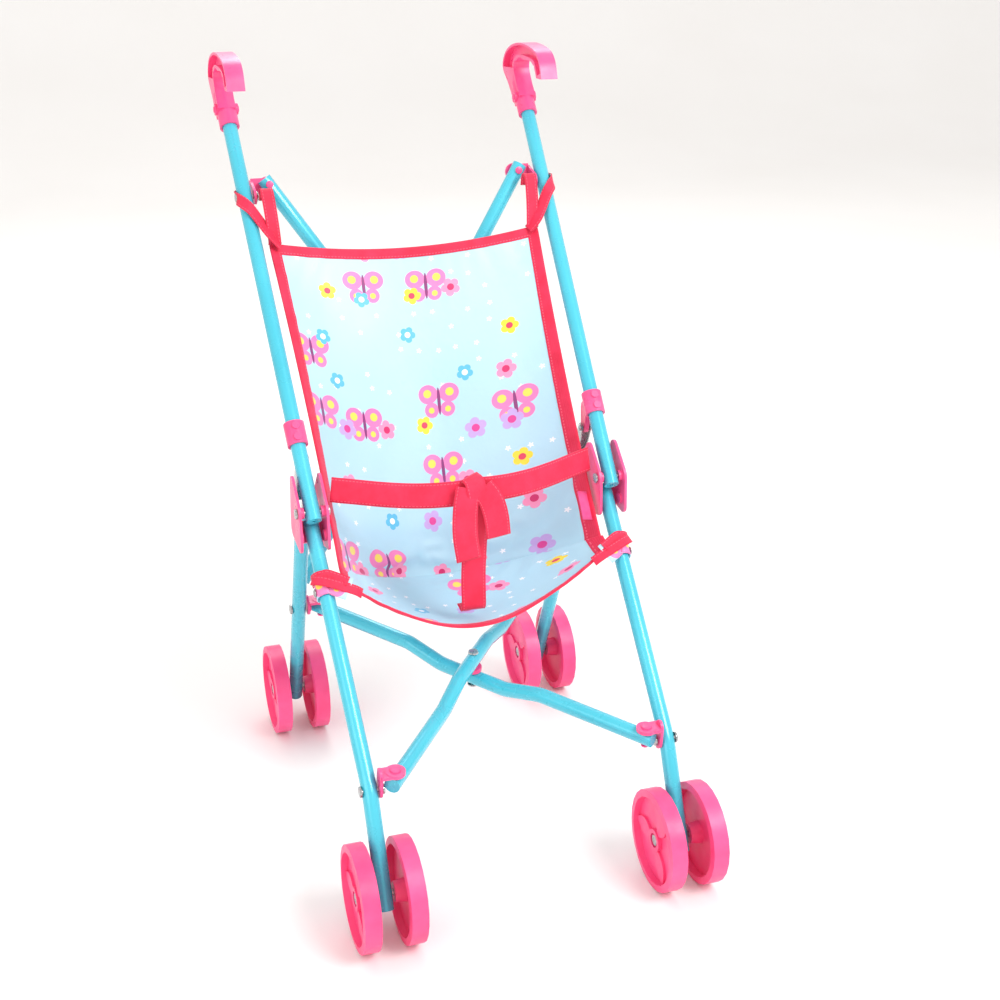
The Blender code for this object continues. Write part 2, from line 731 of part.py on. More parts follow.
def rear_leg(s, side):
    foot = add2(REAR_AXLE, REAR_DIR, FOOT_BELOW_AXLE)
    top = at(s, REAR_TOP_X, REAR_TOP)
    tube = rod("leg", [top, at(s, rear_x(REAR_PIVOT[1] - 0.02), add2(REAR_PIVOT, REAR_DIR, 0.02)), at(s, FOOT_X, foot)])
    tab = side_slab(
        "tab",
        hull([(*REAR_PIVOT, 0.0045), (*LINK_LOW, TAB_R - 0.0008)]),
        s,
        REAR_TOP_X - TAB_T / 2,
        REAR_TOP_X + TAB_T / 2,
    )
    tube = join(tube, tab)
    tube = bore(tube, at(s, REAR_TOP_X, REAR_PIVOT), (1, 0, 0), BOLT_R + GAP)
    tube = bore(tube, at(s, REAR_TOP_X, LINK_LOW), (1, 0, 0), BOLT_R * 0.8 + GAP)
    tube = bore(tube, at(s, FOOT_X, REAR_AXLE), (1, 0, 0), AXLE_R + RUN / 2)
    x = rear_x(REAR_BOLT_Z)
    tube = bore(tube, at(s, x, REAR_BOLT), (1, 0, 0), BOLT_R + GAP)
    finish(tube, f"rear_leg_{side}", "tube", side + "_rear_leg")
    # the bracket end of this bolt is the open pivot of the linkage, so it stops at the tube
    shank = cylinder("bolt", at(s, x + 0.0004, REAR_BOLT), (1, 0, 0), BOLT_R, 2 * TUBE_R + 0.0004)
    bolt = join(shank, screw_head(at(s, x + TUBE_R + GAP, REAR_BOLT), (s, 0, 0)))
    finish(bolt, f"rear_bracket_bolt_{side}", "steel", side + "_rear_leg")


def tongue_bracket(s, side, place, bolt, pivot, plate_x, normal, way, kind_side):
    """A plate beside a tube, with a tongue that covers the end of a cross tube. The rivet joins both."""
    end_x = {"front": LOWER_END_X, "rear": LOWER_END_X, "upper": BACK_TOP_X}[place]
    tongue_at = Vector((0, *pivot)) + normal * kind_side * (TUBE_R + GAP + TONGUE_T / 2)
    along = Vector((0, *way))
    plate_foot = (tongue_at.y, tongue_at.z)
    plate = side_slab(
        "plate",
        hull([(*bolt, 0.0062), (*plate_foot, 0.0050)]),
        s,
        plate_x - PLATE_T,
        plate_x,
    )
    reach = plate_x - PLATE_T / 2 - end_x
    arm = box(
        "arm",
        Vector((s * (end_x + reach / 2), 0, 0)) + tongue_at,
        (reach, 2 * TONGUE_R * 0.86, TONGUE_T),
        [(1, 0, 0), along, normal],
    )
    pad_at = Vector((s * end_x, 0, 0)) + tongue_at + normal * kind_side * PAD_STEP / 2
    pad = cylinder("pad", pad_at, normal, TONGUE_R, TONGUE_T + PAD_STEP, 24)
    bracket = join(plate, arm, pad)
    if place != "rear":
        bracket = bore(bracket, at(s, plate_x, bolt), (1, 0, 0), BOLT_R + GAP, 0.012)
    else:
        nut = screw_head(at(s, plate_x - PLATE_T + 0.0001, bolt), (-s, 0, 0))
        bracket = join(bracket, nut)
    centre = at(s, end_x, pivot)
    far = centre + normal * kind_side * (TUBE_R + GAP + TONGUE_T + PAD_STEP - 0.0001)
    near = centre - normal * kind_side * (TUBE_R + GAP)
    low, high = near - normal * kind_side * 0.0006, far - normal * kind_side * 0.0008
    pin = cylinder("pin", (low + high) / 2, normal, BOLT_R, (high - low).length)
    bracket = join(bracket, pin, screw_head(far, normal * kind_side), screw_head(near, -normal * kind_side, 0.0030))
    finish(bracket, f"{place}_bracket_{side}", "plastic", f"{side}_{place}_bracket")


def axles_and_wheels(s, side, wheel_mesh):
    for place, axle in (("front", FRONT_AXLE), ("rear", REAR_AXLE)):
        on = side + ("_front" if place == "front" else "_rear_leg")
        reach = WHEEL_OUT + 0.0024
        pin = cylinder("axle", at(s, FOOT_X, axle), (1, 0, 0), AXLE_R, 2 * reach)
        for k in (1, -1):
            cap = screw_head(at(s, FOOT_X, axle) + Vector((k * reach, 0, 0)), (k, 0, 0), 0.0044, 0.0018)
            pin = join(pin, cap)
        finish(pin, f"{place}_axle_{side}", "steel", on)
        for which, k in (("outer", 1), ("inner", -1)):
            name = f"wheel_{place}_{side}_{which}"
            obj = bpy.data.objects.new(name, wheel_mesh)
            PARTS.objects.link(obj)
            obj.parent = BODIES[name]
            obj.rotation_euler = (0, math.pi / 2 * k * s, 0)


def wheel_shape():
    """One wheel: rim, thin web, hub and three raised petals on the face turned away from the leg."""
    inner = -(WHEEL_OUT - TUBE_R - WHEEL_GAP)
    half = WHEEL_W / 2
    profile = [
        (AXLE_R + RUN, inner),
        (HUB_R - 0.0015, inner),
        (HUB_R, -0.0010),
        (WHEEL_R - RIM_T, -0.0010),
        (WHEEL_R - RIM_T + 0.0006, -half),
        (WHEEL_R, -half + 0.0006),
        (WHEEL_R, half - 0.0006),
        (WHEEL_R - RIM_T + 0.0006, half),
        (WHEEL_R - RIM_T, WEB_T - 0.0010),
        (HUB_R, WEB_T - 0.0010),
        (HUB_R, 0.0045),
        (0.0054, 0.0045),
        (0.0054, 0.0020),
        (AXLE_R + RUN, 0.0020),
    ]
    mesh = bpy.data.meshes.new("wheel")
    bm = bmesh.new()
    turn = math.pi / WHEEL_STEPS
    verts = [bm.verts.new((r * math.cos(turn), r * math.sin(turn), h)) for r, h in profile]
    for a, b in zip(verts, verts[1:] + verts[:1]):
        bm.edges.new((a, b))
    bm.to_mesh(mesh)
    bm.free()
    obj = link_new("wheel", mesh)
    screw = obj.modifiers.new("turn", "SCREW")
    screw.axis = "Z"
    screw.angle = 2 * math.pi
    screw.steps = WHEEL_STEPS
    screw.render_steps = WHEEL_STEPS
    screw.use_merge_vertices = True
    screw.merge_threshold = 0.00001
    screw.use_normal_calculate = True
    wheel = as_mesh(obj)
    weld(wheel.data)
    bm = bmesh.new()
    bm.from_mesh(wheel.data)
    bmesh.ops.recalc_face_normals(bm, faces=bm.faces)
    bm.to_mesh(wheel.data)
    bm.free()
    for i in range(3):
        petal = petal_shape(i * 2 * math.pi / 3 + math.pi / 2)
        wheel = join(wheel, petal)
    wheel.data.materials.clear()
    wheel.data.materials.append(material("wheel"))
    wheel.data.shade_smooth()
    wheel.data.set_sharp_from_angle(angle=math.radians(32))
    mesh = wheel.data
    bpy.data.objects.remove(wheel, do_unlink=True)
    return mesh


def petal_shape(angle):
    """A lens from the hub to the rim."""
    near, far, wide = HUB_R - 0.0020, WHEEL_R - RIM_T + 0.0003, 0.0062
    points = []
    for i in range(7):
        t = i / 6
        points.append((near + (far - near) * t, wide * math.sin(math.pi * t) + 0.0006))
    for i in range(7):
        t = 1 - i / 6
        points.append((near + (far - near) * t, -wide * math.sin(math.pi * t) - 0.0006))
    turn = Matrix.Rotation(angle, 4, "Z")
    return slab("petal", points, 0.0, 0.0034, turn)


def cross_tubes():
    front, rear = Vector((0, *LOWER_FRONT)), Vector((0, *LOWER_REAR))
    x = Vector((LOWER_END_X, 0, 0))
    for which, start, end, side in (("a", front + x, rear - x, -1), ("b", front - x, rear + x, 1)):
        path, middle = cross_path(start, end, LOWER_N, side)
        tube = rod("cross", path)
        for point in (start, end, middle):
            tube = bore(tube, point, LOWER_N, BOLT_R + GAP, 0.05)
        finish(tube, f"lower_cross_{which}", "tube", f"lower_cross_{which}")
    gap = 2 * (SPREAD - TUBE_R)
    ring = cylinder("spacer", middle, LOWER_N, 0.0068, gap - 2 * GAP, 20)
    ring = bore(ring, middle, LOWER_N, BOLT_R + GAP)
    finish(ring, "lower_spacer", "plastic", "lower_cross_a")
    reach = SPREAD + TUBE_R + GAP
    pin = rivet("pin", middle - LOWER_N * reach, middle + LOWER_N * reach)
    finish(pin, "lower_cross_rivet", "steel", "lower_cross_a")
    high, low = Vector((0, *BACK_TOP)), Vector((0, *BACK_LOW))
    top_x, low_x = Vector((BACK_TOP_X, 0, 0)), Vector((BACK_LOW_X, 0, 0))
    for which, start, end, side in (("a", high + top_x, low - low_x, 1), ("b", high - top_x, low + low_x, -1)):
        path, middle = cross_path(start, end, BACK_N, side)
        tube = rod("cross", path)
        tube = bore(tube, middle, BACK_N, BOLT_R + GAP, 0.05)
        play = GAP if side == 1 else SLACK_BORE
        tube = bore(tube, start, BACK_N, BOLT_R + play, 0.05)
        finish(tube, f"back_cross_{which}", "tube", f"back_cross_{which}")
    pin = rivet("pin", middle - BACK_N * reach, middle + BACK_N * reach)
    finish(pin, "back_cross_rivet", "steel", "back_cross_a")


# ---- sling
def sheet_solid(name, columns, rows, spot, thickness, kind, on):
    """A grid whose points spot(u, w) places, u from -1 to 1 across and w from 0 to 1, made solid."""
    bm = bmesh.new()
    bmesh.ops.create_grid(bm, x_segments=columns, y_segments=rows, size=1.0)
    for vert in bm.verts:
        vert.co = spot(vert.co.x, (vert.co.y + 1) / 2)
    mesh = bpy.data.meshes.new(name)
    bm.to_mesh(mesh)
    bm.free()
    obj = link_new(name, mesh)
    solid = obj.modifiers.new("thickness", "SOLIDIFY")
    solid.thickness = thickness
    solid.offset = 0
    obj = as_mesh(obj)
    bm = bmesh.new()
    bm.from_mesh(obj.data)
    bmesh.ops.recalc_face_normals(bm, faces=bm.faces)
    bm.to_mesh(obj.data)
    bm.free()
    finish(obj, name, kind, on)


def hang(side, middle, u, sag=0.0):
    """A point of a slack sheet, from its side at u = 1 or -1 to its middle at u = 0."""
    y, z = mix(middle, side, u * u)
    return y, z - sag * (1 - u * u)


def back_spot(u, w):
    half = BACK_LOW_HALF + (BACK_TOP_HALF - BACK_LOW_HALF) * w**BACK_FLARE
    side, middle = mix(BACK_LOW_SIDE, BACK_TOP_YZ, w), mix(BACK_LOW_YZ, BACK_TOP_YZ, w)
    y, z = hang(side, middle, u, TOP_SAG * w**3)
    y += BACK_SAG * (1 - u * u) * math.sin(math.pi * (0.15 + 0.7 * w))
    return Vector((u * half, y, z))


def seat_spot(u, w):
    front = (SEAT_FRONT[0], SEAT_FRONT[1] - SEAT_FRONT_SAG)
    side, middle = mix(SEAT_FRONT, SEAT_REAR_SIDE, w), mix(front, SEAT_REAR, w)
    y, z = hang(side, middle, u, SEAT_SAG * math.sin(math.pi * w))
    return Vector((u * SEAT_HALF, y, z))


def belt_spot(s):
    def spot(u, w):
        x = BELT_FROM[0] * (1 - w) + 0.0035 * w
        y = BELT_FROM[1] - BELT_FORWARD * math.sin(math.pi / 2 * w) ** 1.2
        z = BELT_FROM[2] + BELT_RISE * w + u * BELT_W / 2
        return Vector((s * x, y, z))

    return spot


def crotch_spot(u, w):
    low = seat_spot(0, 0.02)
    high = Vector((0, BELT_FROM[1] - BELT_FORWARD + 0.0040, BELT_FROM[2] + BELT_RISE - BELT_W / 2))
    y = low.y + (high.y - low.y) * w + 0.002
    z = low.z + 0.0030 + (high.z - low.z) * w
    return Vector((u * BELT_W / 2, y, z))


def strap_spot(s):
    low = Vector((BACK_TOP_HALF - 0.0040, BACK_TOP_YZ[0] - 0.0005, BACK_TOP_YZ[1] + 0.0035))
    high = Vector((BACK_TOP_HALF + 0.0010, UPPER_PIVOT[0] - 0.0110, UPPER_PIVOT[1] - 0.0010))

    def spot(u, w):
        point = low.lerp(high, w)
        return Vector((s * (point.x + u * STRAP_W / 2), point.y, point.z))

    return spot


def sling():
    sheet_solid("back_panel", 8, 8, back_spot, CLOTH_T, "cloth", "back_panel")
    sheet_solid("seat_panel", 8, 6, seat_spot, CLOTH_T, "cloth", "seat_panel")
    sheet_solid("crotch_strap", 1, 4, crotch_spot, BELT_T, "webbing", "seat_panel")
    for s in (1, -1):
        side = side_name(s)
        sheet_solid(f"lap_belt_{side}", 1, 10, belt_spot(s), BELT_T, "webbing", "left_front")
        sheet_solid(f"top_strap_{side}", 1, 3, strap_spot(s), STRAP_T, "webbing", "back_panel")


def centre_on_ground():
    """Moves the whole stroller so that the middle of its box is over the origin."""
    bpy.context.view_layer.update()
    corners = [
        obj.matrix_world @ vert.co for obj in PARTS.objects if obj.type == "MESH" for vert in obj.data.vertices
    ]
    low = [min(c[i] for c in corners) for i in range(3)]
    high = [max(c[i] for c in corners) for i in range(3)]
    shift = Vector(((low[0] + high[0]) / 2, (low[1] + high[1]) / 2, low[2]))
    BODIES["left_front"].location -= shift
    bpy.context.view_layer.update()


def main():
    make_bodies()
    wheel_mesh = wheel_shape()
    for s in (1, -1):
        side = side_name(s)
        front_leg(s, side)
        knee(s, side)
        handle(s, side)
        grip(s, side)
        sleeve(s, side)
        link(s, side)
        rear_leg(s, side)
        leg_side = FRONT_BOLT_X - TUBE_R - GAP
        tongue_bracket(s, side, "front", FRONT_BOLT, LOWER_FRONT, leg_side, LOWER_N, LOWER_DIR, 1)
        rear_side = rear_x(REAR_BOLT_Z) - TUBE_R - 2 * GAP
        tongue_bracket(s, side, "rear", REAR_BOLT, LOWER_REAR, rear_side, LOWER_N, LOWER_DIR, 1)
        tube_side = handle_x(HANDLE_RUN * (1 - UPPER_BOLT)) - TUBE_R - 3 * GAP
        tongue_bracket(s, side, "upper", UPPER_PIVOT, BACK_TOP, tube_side, BACK_N, BACK_DIR, -1)
        axles_and_wheels(s, side, wheel_mesh)
    cross_tubes()
    sling()
    centre_on_ground()


main()
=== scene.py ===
"""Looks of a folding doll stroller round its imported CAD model: camera, lights, materials, soft goods."""

import json
import math

import bmesh
import bpy
import numpy as np
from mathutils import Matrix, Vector, noise

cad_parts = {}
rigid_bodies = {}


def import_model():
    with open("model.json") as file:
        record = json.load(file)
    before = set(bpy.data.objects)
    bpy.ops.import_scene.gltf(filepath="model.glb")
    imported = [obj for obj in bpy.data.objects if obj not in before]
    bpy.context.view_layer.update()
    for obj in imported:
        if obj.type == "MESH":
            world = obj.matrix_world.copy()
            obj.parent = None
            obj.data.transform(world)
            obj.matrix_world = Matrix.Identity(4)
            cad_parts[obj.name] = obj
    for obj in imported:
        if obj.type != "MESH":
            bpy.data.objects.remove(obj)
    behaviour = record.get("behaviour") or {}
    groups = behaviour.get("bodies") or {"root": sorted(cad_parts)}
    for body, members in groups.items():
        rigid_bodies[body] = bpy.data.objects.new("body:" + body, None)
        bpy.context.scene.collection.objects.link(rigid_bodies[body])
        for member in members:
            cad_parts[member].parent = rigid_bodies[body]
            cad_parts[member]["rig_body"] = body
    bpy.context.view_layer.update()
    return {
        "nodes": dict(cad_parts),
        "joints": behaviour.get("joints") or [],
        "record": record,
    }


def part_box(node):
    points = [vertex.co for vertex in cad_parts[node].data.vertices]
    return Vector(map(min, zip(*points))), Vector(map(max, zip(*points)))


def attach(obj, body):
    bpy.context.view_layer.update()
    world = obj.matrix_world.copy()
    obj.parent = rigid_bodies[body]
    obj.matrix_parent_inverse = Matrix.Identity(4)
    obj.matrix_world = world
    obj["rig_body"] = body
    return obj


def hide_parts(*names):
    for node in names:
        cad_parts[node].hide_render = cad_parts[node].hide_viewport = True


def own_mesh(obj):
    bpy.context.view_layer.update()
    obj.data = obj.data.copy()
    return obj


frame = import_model()

# ---- camera
AZIMUTH, ELEVATION, ROLL = -18.326, 22.203, 0.135
DISTANCE = 1.1475
LENS_MM = 55.29
TARGET = Vector((0.0232, -0.0473, 0.2528))

# ---- sizes in metres
TUBE_R = 0.0058
CLOTH_T = 0.0007
TAPE_T = 0.0009
BINDING_W = 0.0088
BELT_W = 0.0190
STRAP_W = 0.0100
WRAP_W = 0.0170
HEM_W = 0.0074
TAG_W = 0.0230
TAG_OUT = 0.0100
TAG_AT = 0.10  # share of the back's height from its foot
EDGE_IN = 0.0011  # the visible sling stays this far inside the edge of its solid


def joint(name):
    found = [j for j in frame["joints"] if j["name"] == name]
    return Vector(found[0]["pos_m"]), Vector(found[0]["axis"])


def side_name(s):
    return "left" if s > 0 else "right"


# ---- camera and lights
def aim(obj, target):
    direction = target - obj.location
    obj.rotation_euler = direction.to_track_quat("-Z", "Y").to_euler()


def make_camera():
    data = bpy.data.cameras.new("camera")
    data.lens = LENS_MM
    data.sensor_width = 36.0
    cam = bpy.data.objects.new("camera", data)
    bpy.context.scene.collection.objects.link(cam)
    az, el = math.radians(AZIMUTH), math.radians(ELEVATION)
    away = Vector((math.sin(az) * math.cos(el), -math.cos(az) * math.cos(el), math.sin(el)))
    cam.location = TARGET + away * DISTANCE
    aim(cam, TARGET)
    cam.rotation_euler.rotate_axis("Z", math.radians(ROLL))
    bpy.context.scene.camera = cam


def area_light(name, place, size, watts, colour=(1, 1, 1)):
    data = bpy.data.lights.new(name, "AREA")
    data.shape = "DISK"
    data.size = size
    data.energy = watts
    data.color = colour
    lamp = bpy.data.objects.new(name, data)
    bpy.context.scene.collection.objects.link(lamp)
    lamp.location = place
    aim(lamp, Vector((0, 0, 0.25)))


def make_studio():
    world = bpy.data.worlds.new("studio")
    bpy.context.scene.world = world
    world.use_nodes = True
    back = world.node_tree.nodes["Background"]
    back.inputs["Color"].default_value = (1.0, 0.985, 0.97, 1)
    back.inputs["Strength"].default_value = 0.95
    area_light("key", (0.9, -1.5, 1.9), 1.1, 34)
    area_light("fill", (-1.7, -1.2, 1.1), 1.6, 9, (1.0, 0.97, 0.94))
    area_light("rim", (0.3, 1.6, 1.7), 1.2, 14)
    bpy.context.scene.view_settings.view_transform = "Standard"
    make_backdrop()


def make_backdrop():
    """A floor that turns up into a wall far behind the object."""
    reach, bend, wide = 2.4, 1.2, 5.0
    profile = [(-4.0, 0.0), (0.0, 0.0)]
    for k in range(13):
        a = math.pi / 2 * k / 12
        profile.append((reach + bend * math.sin(a), bend * (1 - math.cos(a))))
    profile.append((reach + bend, 5.0))
    verts = [(x, y, z - 0.0002) for y, z in profile for x in (-wide, wide)]
    faces = [(2 * k, 2 * k + 1, 2 * k + 3, 2 * k + 2) for k in range(len(profile) - 1)]
    floor = new_mesh("floor", verts, faces)
    floor.data.materials.append(floor_material())


# ---- node helpers
class Tree:
    """A material's node tree, with short calls for the nodes that the materials use."""

    def __init__(self, name):
        self.material = bpy.data.materials.new(name)
        self.material.use_nodes = True
        self.nodes = self.material.node_tree.nodes
        self.links = self.material.node_tree.links
        self.shader = self.nodes["Principled BSDF"]

    def node(self, kind, **settings):
        made = self.nodes.new(kind)
        for key, value in settings.items():
            setattr(made, key, value)
        return made

    def put(self, value, socket):
        if isinstance(value, bpy.types.NodeSocket):
            self.links.new(value, socket)
        else:
            socket.default_value = value

    def math(self, operation, a, b=0.0, c=0.0):
        made = self.node("ShaderNodeMath", operation=operation)
        for value, socket in zip((a, b, c), made.inputs):
            self.put(value, socket)
        return made.outputs[0]

    def mix(self, share, a, b, blend="MIX"):
        made = self.node("ShaderNodeMix", data_type="RGBA", blend_type=blend)
        self.put(share, made.inputs["Factor"])
        self.put(a, made.inputs["A"])
        self.put(b, made.inputs["B"])
        return made.outputs["Result"]

    def noise(self, where, scale, detail=2.0, roughness=0.5):
        made = self.node("ShaderNodeTexNoise")
        self.put(where, made.inputs["Vector"])
        made.inputs["Scale"].default_value = scale
        made.inputs["Detail"].default_value = detail
        made.inputs["Roughness"].default_value = roughness
        return made.outputs["Fac"]

    def ramp(self, value, low, high, to_low=0.0, to_high=1.0):
        made = self.node("ShaderNodeMapRange")
        self.put(value, made.inputs["Value"])
        for key, number in (("From Min", low), ("From Max", high), ("To Min", to_low), ("To Max", to_high)):
            made.inputs[key].default_value = number
        return made.outputs["Result"]

    def place(self):
        return self.node("ShaderNodeTexCoord").outputs["Object"]

    def uv(self):
        split = self.node("ShaderNodeSeparateXYZ")
        self.links.new(self.node("ShaderNodeUVMap", uv_map="flat").outputs["UV"], split.inputs[0])
        return split.outputs[0], split.outputs[1]

    def bump(self, height, distance, strength=1.0, below=None):
        made = self.node("ShaderNodeBump")
        made.inputs["Strength"].default_value = strength
        made.inputs["Distance"].default_value = distance
        self.put(height, made.inputs["Height"])
        if below is not None:
            self.links.new(below, made.inputs["Normal"])
        return made.outputs["Normal"]

    def finish(self, colour, normal=None, roughness=None, **fixed):
        self.put(colour, self.shader.inputs["Base Color"])
        if normal is not None:
            self.links.new(normal, self.shader.inputs["Normal"])
        if roughness is not None:
            self.put(roughness, self.shader.inputs["Roughness"])
        for key, value in fixed.items():
            socket = "IOR" if key == "ior" else key.replace("_", " ").capitalize()
            self.shader.inputs[socket].default_value = value
        return self.material


def rgb(r, g, b):
    """An 8-bit display colour as linear RGBA."""
    def linear(c):
        c /= 255
        return c / 12.92 if c <= 0.04045 else ((c + 0.055) / 1.055) ** 2.4
    return (linear(r), linear(g), linear(b), 1.0)


# ---- materials
def set_value(tree, name, value):
    tree.shader.inputs[name].default_value = value


def paint_material():
    t = Tree("turquoise_enamel")
    where = t.place()
    cloud = t.noise(where, 14.0, 3.0)
    colour = t.mix(t.ramp(cloud, 0.3, 0.7), rgb(62, 186, 208), rgb(74, 198, 219))
    specks = t.ramp(t.noise(where, 900.0, 2.0), 0.70, 0.78)
    colour = t.mix(t.math("MULTIPLY", specks, 0.35), colour, rgb(130, 222, 236))
    peel = t.bump(t.noise(where, 420.0, 1.0), 0.00012, 0.5)
    rough = t.ramp(t.noise(where, 60.0, 4.0), 0.3, 0.7, 0.20, 0.32)
    t.finish(colour, peel, rough)
    set_value(t, "Coat Weight", 0.6)
    set_value(t, "Coat Roughness", 0.08)
    set_value(t, "Metallic", 0.12)
    return t.material


def plastic_material(name, dark, light, rough_low, rough_high):
    t = Tree(name)
    where = t.place()
    flow = t.noise(where, 22.0, 4.0, 0.6)
    colour = t.mix(t.ramp(flow, 0.3, 0.7), dark, light)
    grain = t.noise(where, 1500.0, 2.0)
    normal = t.bump(grain, 0.00006, 0.5)
    normal = t.bump(t.noise(where, 120.0, 2.0), 0.0003, 0.25, normal)
    t.finish(colour, normal, t.ramp(t.noise(where, 90.0, 3.0), 0.3, 0.7, rough_low, rough_high))
    set_value(t, "Subsurface Weight", 0.06)
    set_value(t, "Subsurface Radius", (0.004, 0.001, 0.001))
    set_value(t, "Specular IOR Level", 0.5)
    return t.material


def steel_material():
    t = Tree("nickel_steel")
    where = t.place()
    marks = t.noise(where, 700.0, 3.0)
    colour = t.mix(t.ramp(marks, 0.35, 0.7), rgb(168, 168, 170), rgb(194, 194, 195))
    normal = t.bump(marks, 0.00005, 0.5)
    t.finish(colour, normal, t.ramp(t.noise(where, 250.0, 3.0), 0.3, 0.7, 0.18, 0.36))
    set_value(t, "Metallic", 1.0)
    return t.material


def stitch_row(t, across, along, at, pitch=0.0026, length=0.62, half=0.00030):
    """A mask of one row of stitches at the distance `at` across the tape."""
    near = t.math("ABSOLUTE", t.math("SUBTRACT", across, at))
    line = t.math("LESS_THAN", near, half)
    beat = t.math("FRACT", t.math("DIVIDE", along, pitch))
    return t.math("MULTIPLY", line, t.math("LESS_THAN", beat, length))


def tape_material(name, width, rows, thread, dark=rgb(226, 22, 66), light=rgb(243, 44, 86)):
    """Woven tape: UV runs across and along it in metres."""
    t = Tree(name)
    across, along = t.uv()
    where = t.place()
    shade = t.ramp(t.noise(where, 60.0, 4.0, 0.6), 0.3, 0.7)
    colour = t.mix(shade, dark, light)
    ribs = t.math("SINE", t.math("MULTIPLY", along, 2 * math.pi / 0.00085))
    cords = t.math("SINE", t.math("MULTIPLY", across, 2 * math.pi / 0.00095))
    weave = t.math("ADD", t.math("MULTIPLY", ribs, 0.6), t.math("MULTIPLY", cords, 0.4))
    # painted shade: the lowest parts of the weave relief, its grooves, are darkened towards deep red
    colour = t.mix(t.ramp(weave, -1.0, 1.0, 0.22, 0.0), colour, rgb(176, 8, 44))
    normal = t.bump(weave, 0.00010, 0.7)
    stitches = None
    for at in rows:
        row = stitch_row(t, across, along, at)
        stitches = row if stitches is None else t.math("MAXIMUM", stitches, row)
    if stitches is not None:
        colour = t.mix(t.math("MULTIPLY", stitches, 0.75), colour, thread)
        normal = t.bump(stitches, 0.00022, 0.8, normal)
    t.finish(colour, normal, t.ramp(weave, -1.0, 1.0, 0.72, 0.55))
    set_value(t, "Sheen Weight", 0.25)
    set_value(t, "Sheen Roughness", 0.4)
    set_value(t, "Sheen Tint", (1.0, 0.55, 0.65, 1))
    return t.material


class Motifs:
    """Motifs scattered over the cloth, one at most in each cell of a square grid in metres."""

    def __init__(self, t, cell, shift, seed):
        self.t = t
        u, v = t.uv()
        gu = t.math("ADD", t.math("DIVIDE", u, cell), shift[0])
        gv = t.math("ADD", t.math("DIVIDE", v, cell), shift[1])
        pair = t.node("ShaderNodeCombineXYZ")
        t.links.new(t.math("FLOOR", gu), pair.inputs[0])
        t.links.new(t.math("FLOOR", gv), pair.inputs[1])
        pair.inputs[2].default_value = seed
        dice = t.node("ShaderNodeTexWhiteNoise", noise_dimensions="3D")
        t.links.new(pair.outputs[0], dice.inputs["Vector"])
        split = t.node("ShaderNodeSeparateColor")
        t.links.new(dice.outputs["Color"], split.inputs[0])
        self.pick = dice.outputs["Value"]
        self.tint = split.outputs[0]
        jitter_u = t.ramp(split.outputs[1], 0, 1, -0.16, 0.16)
        jitter_v = t.ramp(split.outputs[2], 0, 1, -0.16, 0.16)
        off_u = t.math("SUBTRACT", t.math("FRACT", gu), 0.5)
        self.x = t.math("MULTIPLY", t.math("SUBTRACT", off_u, jitter_u), cell)
        off_v = t.math("SUBTRACT", t.math("FRACT", gv), 0.5)
        self.y = t.math("MULTIPLY", t.math("SUBTRACT", off_v, jitter_v), cell)
        self.turn = t.math("MULTIPLY", self.tint, 6.283)

    def polar(self):
        t = self.t
        squares = t.math("ADD", t.math("MULTIPLY", self.x, self.x), t.math("MULTIPLY", self.y, self.y))
        run = t.math("POWER", squares, 0.5)
        angle = t.math("ADD", t.math("ARCTAN2", self.y, self.x), self.turn)
        return run, angle

    def shown(self, low, high):
        """1 in the cells whose draw lies between low and high."""
        t = self.t
        above = t.math("GREATER_THAN", self.pick, low)
        return t.math("MULTIPLY", above, t.math("LESS_THAN", self.pick, high))

    def petals(self, radius, count, depth, power=1.0):
        t = self.t
        run, angle = self.polar()
        wave = t.math("ABSOLUTE", t.math("COSINE", t.math("MULTIPLY", angle, count / 2)))
        lobes = t.math("MULTIPLY", t.math("POWER", wave, power), depth)
        edge = t.math("MULTIPLY", t.math("ADD", lobes, 1 - depth), radius)
        return t.math("LESS_THAN", run, edge)

    def disc(self, radius):
        run, _ = self.polar()
        return self.t.math("LESS_THAN", run, radius)

    def oval(self, x, y, rx, ry, mirrored=True):
        """An oval at (x, y), and its mirror image too if mirrored."""
        t = self.t
        px = t.math("ABSOLUTE", self.x) if mirrored else self.x
        dx = t.math("DIVIDE", t.math("SUBTRACT", px, x), rx)
        dy = t.math("DIVIDE", t.math("SUBTRACT", self.y, y), ry)
        return t.math("LESS_THAN", t.math("ADD", t.math("MULTIPLY", dx, dx), t.math("MULTIPLY", dy, dy)), 1.0)


def paint_on(t, below, mask, colour, shown):
    return t.mix(t.math("MULTIPLY", mask, shown), below, colour)


